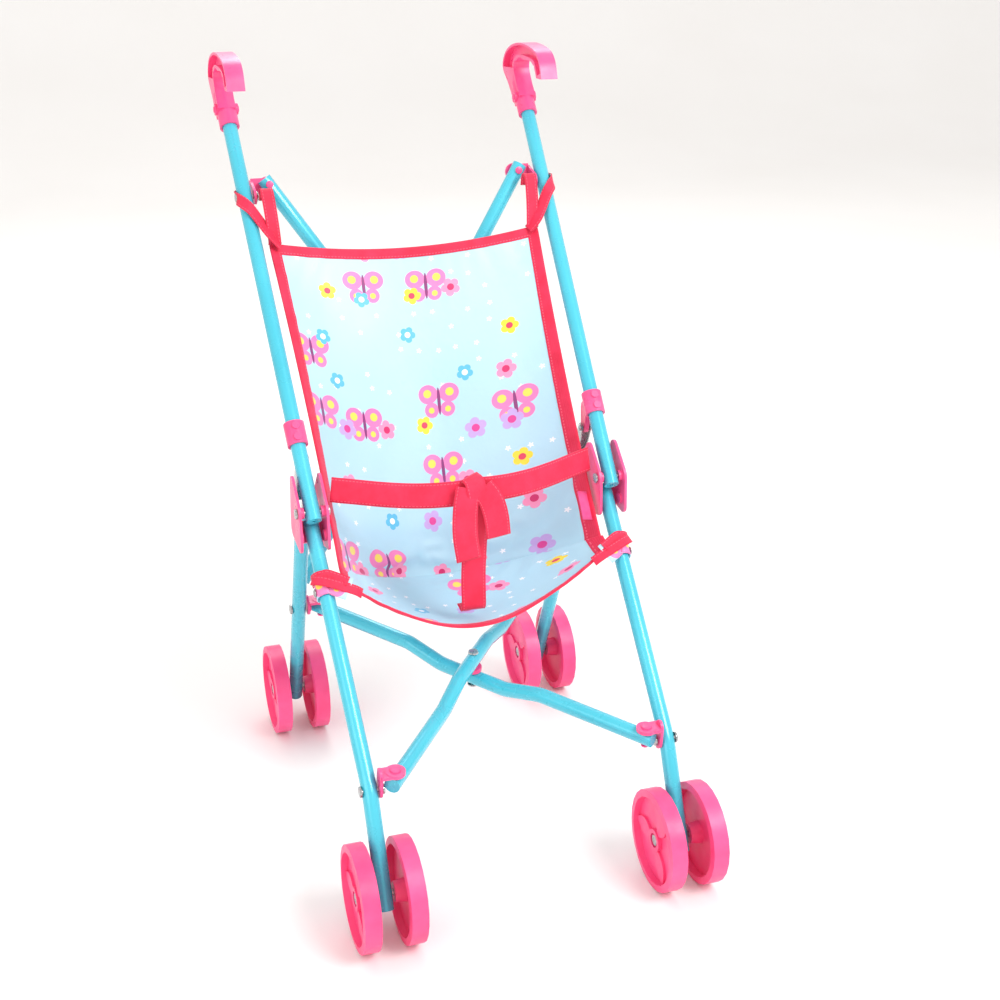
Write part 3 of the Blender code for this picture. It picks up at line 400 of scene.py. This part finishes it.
def cloth_material():
    """Pale blue satin with a generic print of stars, flowers, hearts and butterflies."""
    t = Tree("printed_satin")
    where = t.place()
    u, v = t.uv()
    colour = t.mix(t.ramp(t.noise(where, 9.0, 3.0), 0.3, 0.7), rgb(178, 219, 236), rgb(190, 227, 243))
    stars = Motifs(t, 0.0165, (0.2, 0.6), 3.0)
    star = stars.petals(0.0024, 5, 0.62, 1.4)
    colour = paint_on(t, colour, star, rgb(250, 252, 255), stars.shown(0.0, 0.42))
    big = Motifs(t, 0.0600, (0.35, 0.15), 11.0)
    wings = big.shown(0.0, 0.46)
    pink, lilac, plum = rgb(246, 130, 190), rgb(205, 160, 226), rgb(140, 50, 120)
    ink = t.mix(t.math("GREATER_THAN", big.tint, 0.5), pink, lilac)
    for spot in ((0.0094, 0.0066, 0.0088, 0.0084), (0.0072, -0.0074, 0.0064, 0.0066)):
        colour = paint_on(t, colour, big.oval(*spot), ink, wings)
    for spot in ((0.0100, 0.0072, 0.0036, 0.0036), (0.0074, -0.0076, 0.0026, 0.0026)):
        colour = paint_on(t, colour, big.oval(*spot), rgb(255, 226, 90), wings)
    colour = paint_on(t, colour, big.oval(0, 0, 0.0015, 0.0120), plum, wings)
    flowers = Motifs(t, 0.0400, (0.55, 0.35), 5.0)
    kinds = (
        (0.00, 0.20, 0.0086, rgb(252, 150, 190), rgb(214, 30, 104)),
        (0.20, 0.36, 0.0072, rgb(96, 190, 226), rgb(250, 252, 255)),
        (0.36, 0.48, 0.0078, rgb(252, 224, 62), rgb(226, 60, 96)),
        (0.48, 0.66, 0.0092, rgb(200, 168, 228), rgb(226, 60, 150)),
    )
    for low, high, radius, petal, heart in kinds:
        shown = flowers.shown(low, high)
        colour = paint_on(t, colour, flowers.petals(radius, 5, 0.34, 0.6), petal, shown)
        colour = paint_on(t, colour, flowers.disc(radius * 0.36), heart, shown)
    thread = t.math("SINE", t.math("MULTIPLY", u, 2 * math.pi / 0.0005))
    pick = t.math("SINE", t.math("MULTIPLY", v, 2 * math.pi / 0.0005))
    weave = t.math("ADD", thread, pick)
    normal = t.bump(weave, 0.00003, 0.4)
    normal = t.bump(t.noise(where, 55.0, 4.0, 0.55), 0.0016, 0.35, normal)
    t.finish(colour, normal, t.ramp(t.noise(where, 80.0, 3.0), 0.3, 0.7, 0.30, 0.42))
    set_value(t, "Coat Weight", 0.15)
    set_value(t, "Coat Roughness", 0.3)
    set_value(t, "Sheen Weight", 0.08)
    return t.material


def floor_material():
    t = Tree("studio_floor")
    where = t.place()
    colour = t.mix(t.noise(where, 3.0, 2.0), rgb(240, 238, 236), rgb(244, 243, 242))
    t.finish(colour, None, 0.6)
    set_value(t, "Specular IOR Level", 0.2)
    return t.material


# ---- mesh helpers
def new_mesh(name, verts, faces, uvs=None):
    """uvs holds one pair for each vertex."""
    mesh = bpy.data.meshes.new(name)
    mesh.from_pydata([tuple(v) for v in verts], [], faces)
    mesh.update()
    for face in mesh.polygons:
        face.use_smooth = True
    if uvs is not None:
        layer = mesh.uv_layers.new(name="flat")
        for loop in mesh.loops:
            layer.data[loop.index].uv = uvs[loop.vertex_index]
    obj = bpy.data.objects.new(name, mesh)
    bpy.context.scene.collection.objects.link(obj)
    return obj


def apply_modifiers(obj):
    graph = bpy.context.evaluated_depsgraph_get()
    obj.data = bpy.data.meshes.new_from_object(obj.evaluated_get(graph))
    obj.modifiers.clear()
    return obj


def thicken(obj, thickness, levels=0, offset=0.0):
    solid = obj.modifiers.new("thickness", "SOLIDIFY")
    solid.thickness = thickness
    solid.offset = offset
    if levels:
        smooth = obj.modifiers.new("smooth", "SUBSURF")
        smooth.levels = levels
        smooth.render_levels = levels
    return apply_modifiers(obj)


def finish_piece(obj, material, body):
    obj.data.materials.clear()
    obj.data.materials.append(material)
    for face in obj.data.polygons:
        face.material_index = 0
    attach(obj, body)
    return obj


def curve_through(points, steps):
    """Points along a smooth curve through the given ones, evenly spread by length."""
    pts = [Vector(p) for p in points]
    pts = [2 * pts[0] - pts[1]] + pts + [2 * pts[-1] - pts[-2]]
    dense = []
    for a, b, c, d in zip(pts, pts[1:], pts[2:], pts[3:]):
        for k in range(16):
            f = k / 16
            square, cube = 2 * a - 5 * b + 4 * c - d, 3 * b - a - 3 * c + d
            dense.append(0.5 * (2 * b + (c - a) * f + square * f**2 + cube * f**3))
    dense.append(pts[-2])
    runs = [0.0]
    for p, q in zip(dense, dense[1:]):
        runs.append(runs[-1] + (q - p).length)
    made, k = [], 0
    for i in range(steps + 1):
        goal = runs[-1] * i / steps
        while k < len(runs) - 2 and runs[k + 1] < goal:
            k += 1
        share = (goal - runs[k]) / max(runs[k + 1] - runs[k], 1e-9)
        made.append(dense[k].lerp(dense[k + 1], min(max(share, 0), 1)))
    return made


def tape(name, points, sides, width, material, body, steps=40, thickness=TAPE_T, columns=6, crown=0.0003):
    """A strip of woven tape along a smooth curve; sides gives its crosswise direction at each point."""
    line = curve_through(points, steps)
    across = curve_through(sides, steps)
    verts, uvs, run = [], [], 0.0
    for i, (point, side) in enumerate(zip(line, across)):
        if i:
            run += (point - line[i - 1]).length
        forward = (line[min(i + 1, steps)] - line[max(i - 1, 0)]).normalized()
        side = (side - forward * side.dot(forward)).normalized()
        out = forward.cross(side)
        for k in range(columns + 1):
            s = 2 * k / columns - 1
            verts.append(point + side * (s * width / 2) + out * crown * (1 - s * s))
            uvs.append((k / columns * width, run))
    faces = []
    for i in range(steps):
        for k in range(columns):
            a = i * (columns + 1) + k
            faces.append((a, a + 1, a + columns + 2, a + columns + 1))
    obj = new_mesh(name, verts, faces, uvs)
    thicken(obj, thickness)
    return finish_piece(obj, material, body)


# ---- hard pieces
def refine(node, material, angle=32, bevel=0.0):
    """A smooth-shaded copy of a CAD node, in a better material, in place of the faceted one."""
    source = frame["nodes"][node]
    mesh = source.data.copy()
    obj = bpy.data.objects.new(node + "_finish", mesh)
    bpy.context.scene.collection.objects.link(obj)
    bm = bmesh.new()
    bm.from_mesh(mesh)
    bmesh.ops.remove_doubles(bm, verts=bm.verts, dist=0.00002)
    bmesh.ops.dissolve_limit(bm, angle_limit=math.radians(1.0), verts=bm.verts, edges=bm.edges)
    for edge in bm.edges:
        sharp = len(edge.link_faces) != 2 or edge.calc_face_angle(0) > math.radians(angle)
        edge.smooth = not sharp
    for face in bm.faces:
        face.smooth = True
    bm.to_mesh(mesh)
    bm.free()
    if bevel:
        round_edges = obj.modifiers.new("round", "BEVEL")
        round_edges.width = bevel
        round_edges.segments = 2
        round_edges.limit_method = "ANGLE"
        round_edges.angle_limit = math.radians(angle)
        round_edges.harden_normals = False
        apply_modifiers(obj)
    finish_piece(obj, material, source["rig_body"])
    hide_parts(node)
    return obj


# ---- sling, as (y, z) steps from the seat's front corner
BACK_FOOT_SIDE = np.array((0.0135, 0.0020))
BACK_FOOT_MIDDLE = np.array((0.1060, -0.0580))
SEAT_REAR_SIDE = np.array((0.0118, 0.0045))
SEAT_REAR_MIDDLE = np.array((0.1056, -0.0545))
BACK_TAPER = 0.0085
BACK_FLARE = 1.8
SEAT_FRONT_SAG = 0.0470
SEAT_SAG = 0.0070
TOP_SAG = 0.0120
BACK_SAG = 0.0092
DRAPE_CAP = 0.005  # the furthest that the simulation may move a point
SLING = {}
# depth into the sheet in widths, and height off it in cloth thicknesses
BINDING_PROFILE = (
    (1.0, 1.0), (0.75, 1.25), (0.50, 1.3), (0.25, 1.3), (0.06, 1.2), (-0.07, 0.6),
    (-0.07, -0.6), (0.06, -1.2), (0.25, -1.3), (0.50, -1.3), (0.75, -1.25), (1.0, -1.0),
)


class Sheet:
    """A rectangular cut of cloth, as a grid of points: u runs across from -1 to 1, w upwards from 0 to 1."""

    def __init__(self, spot, columns, rows, flat):
        self.columns, self.rows, self.flat = columns, rows, flat
        across = [2 * i / columns - 1 for i in range(columns + 1)]
        self.grid = np.array([[spot(u, j / rows) for u in across] for j in range(rows + 1)])

    def at(self, u, w):
        x = min(max((u + 1) / 2 * self.columns, 0), self.columns - 1e-6)
        y = min(max(w * self.rows, 0), self.rows - 1e-6)
        i, j = int(x), int(y)
        fx, fy = x - i, y - j
        g = self.grid
        low = g[j, i] * (1 - fx) + g[j, i + 1] * fx
        high = g[j + 1, i] * (1 - fx) + g[j + 1, i + 1] * fx
        return Vector(low * (1 - fy) + high * fy)

    def normal(self, u, w):
        d = 0.02
        across = self.at(min(u + d, 1), w) - self.at(max(u - d, -1), w)
        up = self.at(u, min(w + d, 1)) - self.at(u, max(w - d, 0))
        return across.cross(up).normalized()

    def mesh(self, name):
        n = self.columns + 1
        verts = [Vector(p) for row in self.grid for p in row]
        wide, tall = self.flat
        uvs = [
            (i / self.columns * wide, j / self.rows * tall) for j in range(self.rows + 1) for i in range(n)
        ]
        starts = [j * n + i for j in range(self.rows) for i in range(self.columns)]
        faces = [(a, a + 1, a + n + 1, a + n) for a in starts]
        return new_mesh(name, verts, faces, uvs)


def drape(sheet, name, pinned, slack, frames=22, cap=0.010):
    """Lets the sheet hang between its pinned edges as slack cloth, with no point moving further than cap."""
    obj = sheet.mesh(name + "_drape")
    group = obj.vertex_groups.new(name="pinned")
    n = sheet.columns + 1
    for j in range(sheet.rows + 1):
        for i in range(n):
            if pinned(2 * i / sheet.columns - 1, j / sheet.rows):
                group.add([j * n + i], 1.0, "REPLACE")
    cloth = obj.modifiers.new("cloth", "CLOTH")
    setting = cloth.settings
    setting.vertex_group_mass = "pinned"
    setting.shrink_min = -slack
    setting.mass = 0.25
    setting.quality = 7
    setting.tension_stiffness = 25
    setting.compression_stiffness = 18
    setting.shear_stiffness = 8
    setting.bending_stiffness = 0.4
    setting.air_damping = 2.0
    cloth.point_cache.frame_start = 1
    cloth.point_cache.frame_end = frames
    scene = bpy.context.scene
    for f in range(1, frames + 1):
        scene.frame_set(f)
    graph = bpy.context.evaluated_depsgraph_get()
    settled = obj.evaluated_get(graph).to_mesh()
    points = np.array([v.co for v in settled.vertices]).reshape(sheet.grid.shape)
    move = points - sheet.grid
    length = np.linalg.norm(move, axis=2, keepdims=True)
    sheet.grid = sheet.grid + move * np.minimum(1.0, cap / np.maximum(length, 1e-9))
    bpy.data.objects.remove(obj)
    scene.frame_set(1)


def hang(side, middle, u):
    """A point of a slack sheet, from its side at u = 1 or -1 to its middle at u = 0."""
    return middle + (side - middle) * (u * u)


def back_shape():
    """The spot function of the sling's back, from its top corners and the seat's front corners."""
    top_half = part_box("back_panel")[1].x - EDGE_IN
    low_half = top_half - BACK_TAPER
    top = np.array(joint("back_panel_turn")[0])[1:]
    front = np.array(joint("seat_panel_turn")[0])[1:]
    foot_side, foot_middle = front + BACK_FOOT_SIDE, front + BACK_FOOT_MIDDLE

    def spot(u, w):
        half = low_half + (top_half - low_half) * w**BACK_FLARE
        y, z = hang(foot_side + (top - foot_side) * w, foot_middle + (top - foot_middle) * w, u)
        z -= TOP_SAG * (1 - u * u) * w**3
        y += BACK_SAG * (1 - u * u) * math.sin(math.pi * (0.15 + 0.7 * w))
        soft = math.sin(math.pi * min(max(w, 0), 1)) ** 0.5 * (1 - u * u)
        y += 0.0022 * soft * (noise.noise(Vector((u * 2.1, w * 3.2, 0.3))) - 0.9)
        return (u * half, y, z)

    return spot


def seat_shape():
    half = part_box("seat_panel")[1].x - EDGE_IN
    front = np.array(joint("seat_panel_turn")[0])[1:]
    rear_side, rear_middle = front + SEAT_REAR_SIDE, front + SEAT_REAR_MIDDLE
    front_middle = front + np.array((0.0, -SEAT_FRONT_SAG))

    def spot(u, w):
        y, z = hang(front + (rear_side - front) * w, front_middle + (rear_middle - front_middle) * w, u)
        z -= SEAT_SAG * (1 - u * u) * math.sin(math.pi * w)
        soft = math.sin(math.pi * min(max(w, 0), 1)) * (1 - u * u)
        z += 0.0020 * soft * noise.noise(Vector((u * 2.6, w * 2.2, 4.3)))
        return (u * half, y, z)

    return spot


def binding(name, sheet, corners_uw, material, body, width=BINDING_W):
    """Red tape folded over the sheet's edge, along straight runs between corners in (u, w)."""
    wide_u, wide_w = 2 * width / sheet.flat[0], width / sheet.flat[1]
    runs = []
    for (u0, w0), (u1, w1) in zip(corners_uw, corners_uw[1:]):
        length = math.hypot((u1 - u0) * sheet.flat[0] / 2, (w1 - w0) * sheet.flat[1])
        count = max(int(length / 0.004), 2)
        runs += [(u0 + (u1 - u0) * k / count, w0 + (w1 - w0) * k / count) for k in range(count)]
    runs.append(corners_uw[-1])
    across_w = corners_uw[1][1]

    def inner(u, w, depth):
        low = depth * wide_w if across_w == 0 else 0.0
        high = 1 - depth * wide_w if across_w == 1 else 1.0
        side = 1 - depth * wide_u
        return sheet.at(min(max(u, -side), side), min(max(w, low), high))

    verts, uvs, run, previous = [], [], 0.0, None
    for u, w in runs:
        here = sheet.at(u, w)
        if previous is not None:
            run += (here - previous).length
        previous = here
        rise = sheet.normal(u, w)
        outward = (here - inner(u, w, 1.0)).normalized()
        for k, (depth, level) in enumerate(BINDING_PROFILE):
            point = inner(u, w, max(depth, 0.0)) + outward * max(-depth, 0.0) * width
            verts.append(point + rise * level * CLOTH_T)
            uvs.append((k / (len(BINDING_PROFILE) - 1) * 2 * width, run))
    n = len(BINDING_PROFILE)
    faces = [
        (i * n + k, i * n + k + 1, (i + 1) * n + k + 1, (i + 1) * n + k)
        for i in range(len(runs) - 1) for k in range(n - 1)
    ]
    obj = new_mesh(name, verts, faces, uvs)
    thicken(obj, 0.0005, 1)
    return finish_piece(obj, material, body)


def make_sling(cloth, edge):
    back = Sheet(back_shape(), 44, 60, (0.235, 0.290))
    seat = Sheet(seat_shape(), 44, 36, (0.225, 0.116))
    def back_pinned(u, w):
        return abs(u) > 0.97 or w > 0.99 or w < 0.01

    def seat_pinned(u, w):
        return abs(u) > 0.97 or w > 0.99 or (w < 0.01 and abs(u) > 0.6)

    drape(back, "back", back_pinned, 0.012, cap=DRAPE_CAP)
    drape(seat, "seat", seat_pinned, 0.016, cap=DRAPE_CAP)
    SLING["back"], SLING["seat"] = back, seat
    pieces = {}
    for key, sheet, cut, runs in (
        ("back", back, 0.0668, [(-1, 0.0), (-1, 1), (1, 1), (1, 0.0)]),
        ("seat", seat, 0.0180, [(-1, 1.0), (-1, 0), (1, 0), (1, 1.0)]),
    ):
        body = key + "_panel"
        obj = sheet.mesh(key + "_cloth")
        thicken(obj, CLOTH_T, 1)
        finish_piece(obj, cloth, body)
        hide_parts(body)
        trim = binding(key + "_binding", sheet, runs, edge, body)
        for piece in (obj, trim):
            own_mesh(piece)
        pieces[key] = obj
    return pieces


def belt_squash(obj):
    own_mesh(obj)
    return obj


def make_belt(webbing):
    low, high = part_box("lap_belt_left")
    front_y, back_y = low.y, high.y
    side_z, knot_z = high.z - BELT_W / 2, low.z + BELT_W / 2
    up = Vector((0, 0.10, 1))

    def half(s, lift):
        points = []
        for k in range(7):
            w = k / 6
            x = high.x * (1 - w) - 0.004 * w
            y = back_y - (back_y - front_y - 0.002) * math.sin(math.pi / 2 * w) ** 1.2
            z = side_z + (knot_z - side_z) * w - 0.003 * math.sin(math.pi * w)
            points.append(Vector((s * x, y - lift, z)))
        return points

    for s, lift in ((1, 0.0), (-1, 0.0016)):
        name = f"lap_belt_{side_name(s)}"
        obj = tape(name + "_tape", half(s, lift), [up] * 7, BELT_W, webbing, "left_front", 48)
        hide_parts(name)
        belt_squash(obj)
    knot = Vector((0, front_y, knot_z))
    loop = [knot + Vector(p) for p in (
        (-0.004, 0.0030, 0.0105), (-0.0015, -0.0022, 0.0080), (0.0, -0.0046, 0.0000),
        (0.002, -0.0024, -0.0090), (0.003, 0.0030, -0.0110))]
    belt_squash(tape("belt_knot", loop, [Vector((1, 0, 0.1))] * 5, 0.0150, webbing, "left_front", 20))
    right_tail = [knot + Vector(p) for p in (
        (-0.006, -0.0030, 0.004), (-0.009, -0.0050, -0.010),
        (-0.010, -0.0064, -0.030), (-0.007, -0.0060, -0.052))]
    sides = [Vector((1, 0, 0.05))] * 4
    belt_squash(tape("belt_tail_right", right_tail, sides, BELT_W, webbing, "left_front", 26))
    left_tail = [knot + Vector(p) for p in (
        (0.004, -0.0036, 0.003), (0.010, -0.0058, -0.006),
        (0.014, -0.0066, -0.020), (0.016, -0.0060, -0.036))]
    sides = [Vector((1, 0, 0.9))] * 4
    belt_squash(tape("belt_tail_left", left_tail, sides, BELT_W, webbing, "left_front", 24))


def make_crotch_strap(webbing):
    low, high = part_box("crotch_strap")
    foot = Vector((0, high.y - 0.002, low.z + 0.002))
    head = Vector((0, low.y + 0.003, high.z - 0.004))
    points = [foot + Vector((0, 0.012, -0.001)), foot, foot.lerp(head, 0.35) + Vector((0, 0.003, 0)), head]
    obj = tape("crotch_strap_tape", points, [Vector((1, 0, 0))] * 4, BELT_W, webbing, "left_front", 30)
    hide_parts("crotch_strap")
    belt_squash(obj)


# degrees round the handle tube, and climb along it
WRAP_TURNS = ((70, -0.004), (110, 0.003), (150, 0.009), (190, 0.014), (230, 0.018), (270, 0.021), (310, 0.023))


def make_top_straps(webbing):
    for s in (1, -1):
        side = side_name(s)
        low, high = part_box(f"top_strap_{side}")
        foot_x = s * (SLING["back"].grid[-1, -1, 0] - 0.004)
        corner_point = Vector((foot_x, low.y + 0.001, low.z))
        peak = Vector((s * (min(abs(low.x), abs(high.x)) + STRAP_W * 0.6), high.y, high.z + 0.004))
        front = Vector((0, -0.004, 0.001))
        points = [corner_point + Vector((0, -0.001, -0.004)), corner_point + front * 0.4,
                  corner_point.lerp(peak, 0.5) + front,
                  peak + front * 0.8, peak + Vector((0, 0.004, 0.0035)), peak + Vector((0, 0.0075, -0.006))]
        body = f"{side}_handle"
        obj = tape(f"top_strap_{side}_tape", points, [Vector((1, 0, 0))] * 6, STRAP_W, webbing, body, 34)
        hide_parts(f"top_strap_{side}")
        tube_low, tube_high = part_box(f"handle_tube_{side}")
        near_x, far_x = sorted((abs(tube_low.x), abs(tube_high.x)))
        inner = Vector((s * (near_x + TUBE_R), tube_low.y + TUBE_R * 0.7, tube_low.z))
        outer = Vector((s * (far_x - TUBE_R), tube_high.y - TUBE_R * 0.7, tube_high.z))
        share = (corner_point.z + 0.020 - tube_low.z) / (tube_high.z - tube_low.z)
        centre, axis = inner.lerp(outer, share), (outer - inner).normalized()
        inward = Vector((-s, 0, 0))
        ahead = axis.cross(inward).normalized() * s
        reach = TUBE_R + 0.0012
        wrap = [corner_point + Vector((-s * 0.004, -0.0030, -0.005))]
        wrap.append(corner_point + Vector((s * 0.003, -0.0036, 0.004)))
        for deg, climb in WRAP_TURNS:
            a = math.radians(deg)
            wrap.append(centre + inward * reach * math.cos(a) + ahead * reach * math.sin(a) + axis * climb)
        tape(f"side_strap_{side}", wrap, [axis] * len(wrap), STRAP_W * 0.9, webbing, f"{side}_handle", 70)


LEG_BEHIND, LEG_STEP = (0.737, -0.676), 0.0162  # way and distance from a knee to its front leg's axis


def leg_line(side):
    """Two points on a front leg's axis: level with the knee, and at its bracket's bolt."""
    s = 1 if side == "left" else -1
    knee = joint("fold" if s > 0 else "right_handle_fold")[0]
    bolt = joint("left_front_bracket_pivot" if s > 0 else "right_front_pivot")[0]
    behind = Vector((0, *LEG_BEHIND)) * LEG_STEP
    top = knee + behind
    top.x = s * (max(abs(v.x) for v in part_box(f"front_leg_{side}")) - TUBE_R)
    return top, bolt


def make_corner_wraps(cloth, edge, steel):
    """The seat's front corners, taken in front of the front legs and screwed to their outer sides."""
    seat = SLING["seat"]
    for s in (1, -1):
        side = side_name(s)
        top, bolt = leg_line(side)
        down = (bolt - top).normalized()
        start = seat.at(s * 0.97, 0.0)
        centre = top + down * ((top.z - start.z) / -down.z)
        outward = Vector((s, 0, 0))
        ahead = down.cross(outward).normalized()
        ahead *= -1 if ahead.y > 0 else 1

        def around(lift, drop, angles):
            reach = TUBE_R + lift
            return [
                centre + (outward * math.cos(a) + ahead * math.sin(a)) * reach + down * (drop + climb)
                for a, climb in ((math.radians(deg), rise) for deg, rise in angles)
            ]

        turns = ((112, 0.0), (85, 0.0), (58, 0.0), (30, 0.0003), (4, 0.0008), (-24, 0.0014), (-52, 0.0020))
        path = [start + ahead * 0.0006 + down * 0.0035] + around(0.0014, 0.0035, turns)
        wrap = tape(f"seat_corner_{side}", path, [down] * len(path), WRAP_W, cloth, f"{side}_front", 50,
                    thickness=CLOTH_T, crown=0.0)
        hem_path = [start + ahead * 0.0018 - down * 0.0022] + around(0.0026, -0.0022, turns[:-1])
        body = f"{side}_front"
        sides = [down] * len(hem_path)
        hem = tape(f"corner_hem_{side}", hem_path, sides, HEM_W, edge, body, 50, crown=0.0)
        lip = [seat.at(s * u, 0.0) + ahead * 0.0022 + down * d for u, d in ((0.88, 0.0010), (0.94, 0.0020))]
        lip += around(0.0038, 0.0, ((96, 0.0040), (70, 0.0022), (44, 0.0004), (22, -0.0010)))
        lip_sides = [down + outward * 0.4] * len(lip)
        low_hem = tape(f"corner_front_hem_{side}", lip, lip_sides, HEM_W, edge, body, 50, crown=0.0)
        long = sum((q - p).length for p, q in zip(path, path[1:]))
        screw_at = centre + down * 0.0080 + outward * (TUBE_R + 0.0022)
        make_screw(f"seat_screw_{side}", screw_at, outward, steel, f"{side}_front")


def make_tag(edge):
    """A plain pink tag sewn into the left binding of the back, standing forward."""
    back = SLING["back"]
    foot = back.at(0.985, TAG_AT)
    out = back.normal(0.985, TAG_AT)
    out *= -1 if out.y > 0 else 1
    up = (back.at(0.985, TAG_AT + 0.05) - foot).normalized()
    points = [
        foot + out * (0.0008 + TAG_OUT * k) + Vector((0.0010 * k * k, 0, 0)) for k in (0.0, 0.35, 0.7, 1.0)
    ]
    tag = tape("side_tag", points, [up] * 4, TAG_W, edge, "back_panel", 14, crown=0.0)
    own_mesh(tag)


def make_screw(name, place, direction, steel, body):
    """A domed cross-slot screw head."""
    radius, height = 0.0029, 0.0013
    bm = bmesh.new()
    rings, around = 5, 24
    verts = []
    for j in range(rings):
        a = math.pi / 2 * j / (rings - 1)
        ring = []
        for i in range(around):
            b = 2 * math.pi * i / around
            r = radius * math.cos(a) + 0.0004
            slot = 0.0005 if j >= 3 and min(abs(math.cos(b)), abs(math.sin(b))) < 0.25 else 0.0
            ring.append(bm.verts.new((r * math.cos(b), r * math.sin(b), height * math.sin(a) - slot)))
        verts.append(ring)
    for low, high in zip(verts, verts[1:]):
        for i in range(around):
            k = (i + 1) % around
            bm.faces.new((low[i], low[k], high[k], high[i]))
    bm.faces.new(verts[-1])
    bm.faces.new(list(reversed(verts[0])))
    mesh = bpy.data.meshes.new(name)
    bm.to_mesh(mesh)
    bm.free()
    for face in mesh.polygons:
        face.use_smooth = True
    obj = bpy.data.objects.new(name, mesh)
    bpy.context.scene.collection.objects.link(obj)
    mesh.transform(Vector(direction).to_track_quat("Z", "Y").to_matrix().to_4x4())
    obj.location = place
    return finish_piece(obj, steel, body)


# ---- build
def main():
    make_camera()
    make_studio()
    paint = paint_material()
    plastic = plastic_material("pink_plastic", rgb(246, 72, 132), rgb(254, 96, 154), 0.26, 0.38)
    wheel = plastic_material("pink_wheel_plastic", rgb(245, 66, 126), rgb(253, 92, 150), 0.34, 0.48)
    steel = steel_material()
    webbing = tape_material("red_webbing", BELT_W, (0.0016, BELT_W - 0.0016), rgb(250, 96, 124))
    strap = tape_material("red_strap", STRAP_W, (0.0014, STRAP_W - 0.0014), rgb(250, 96, 124))
    edge = tape_material("red_binding", BINDING_W, (0.0014, 2 * BINDING_W - 0.0014), rgb(250, 96, 124))
    tag_tape = tape_material("pink_tag", TAG_W, (), rgb(255, 170, 200), rgb(236, 70, 140), rgb(250, 110, 172))
    cloth = cloth_material()
    by_slot = {"tube": paint, "plastic": plastic, "steel": steel, "wheel": wheel}
    for part in frame["record"]["subparts"]:
        slot = part["material_slot"]
        if slot in by_slot:
            refine(part["node"], by_slot[slot], angle=34 if slot != "tube" else 50)
    make_sling(cloth, edge)
    make_belt(webbing)
    make_crotch_strap(webbing)
    make_top_straps(strap)
    make_corner_wraps(cloth, edge, steel)
    make_tag(tag_tape)


main()
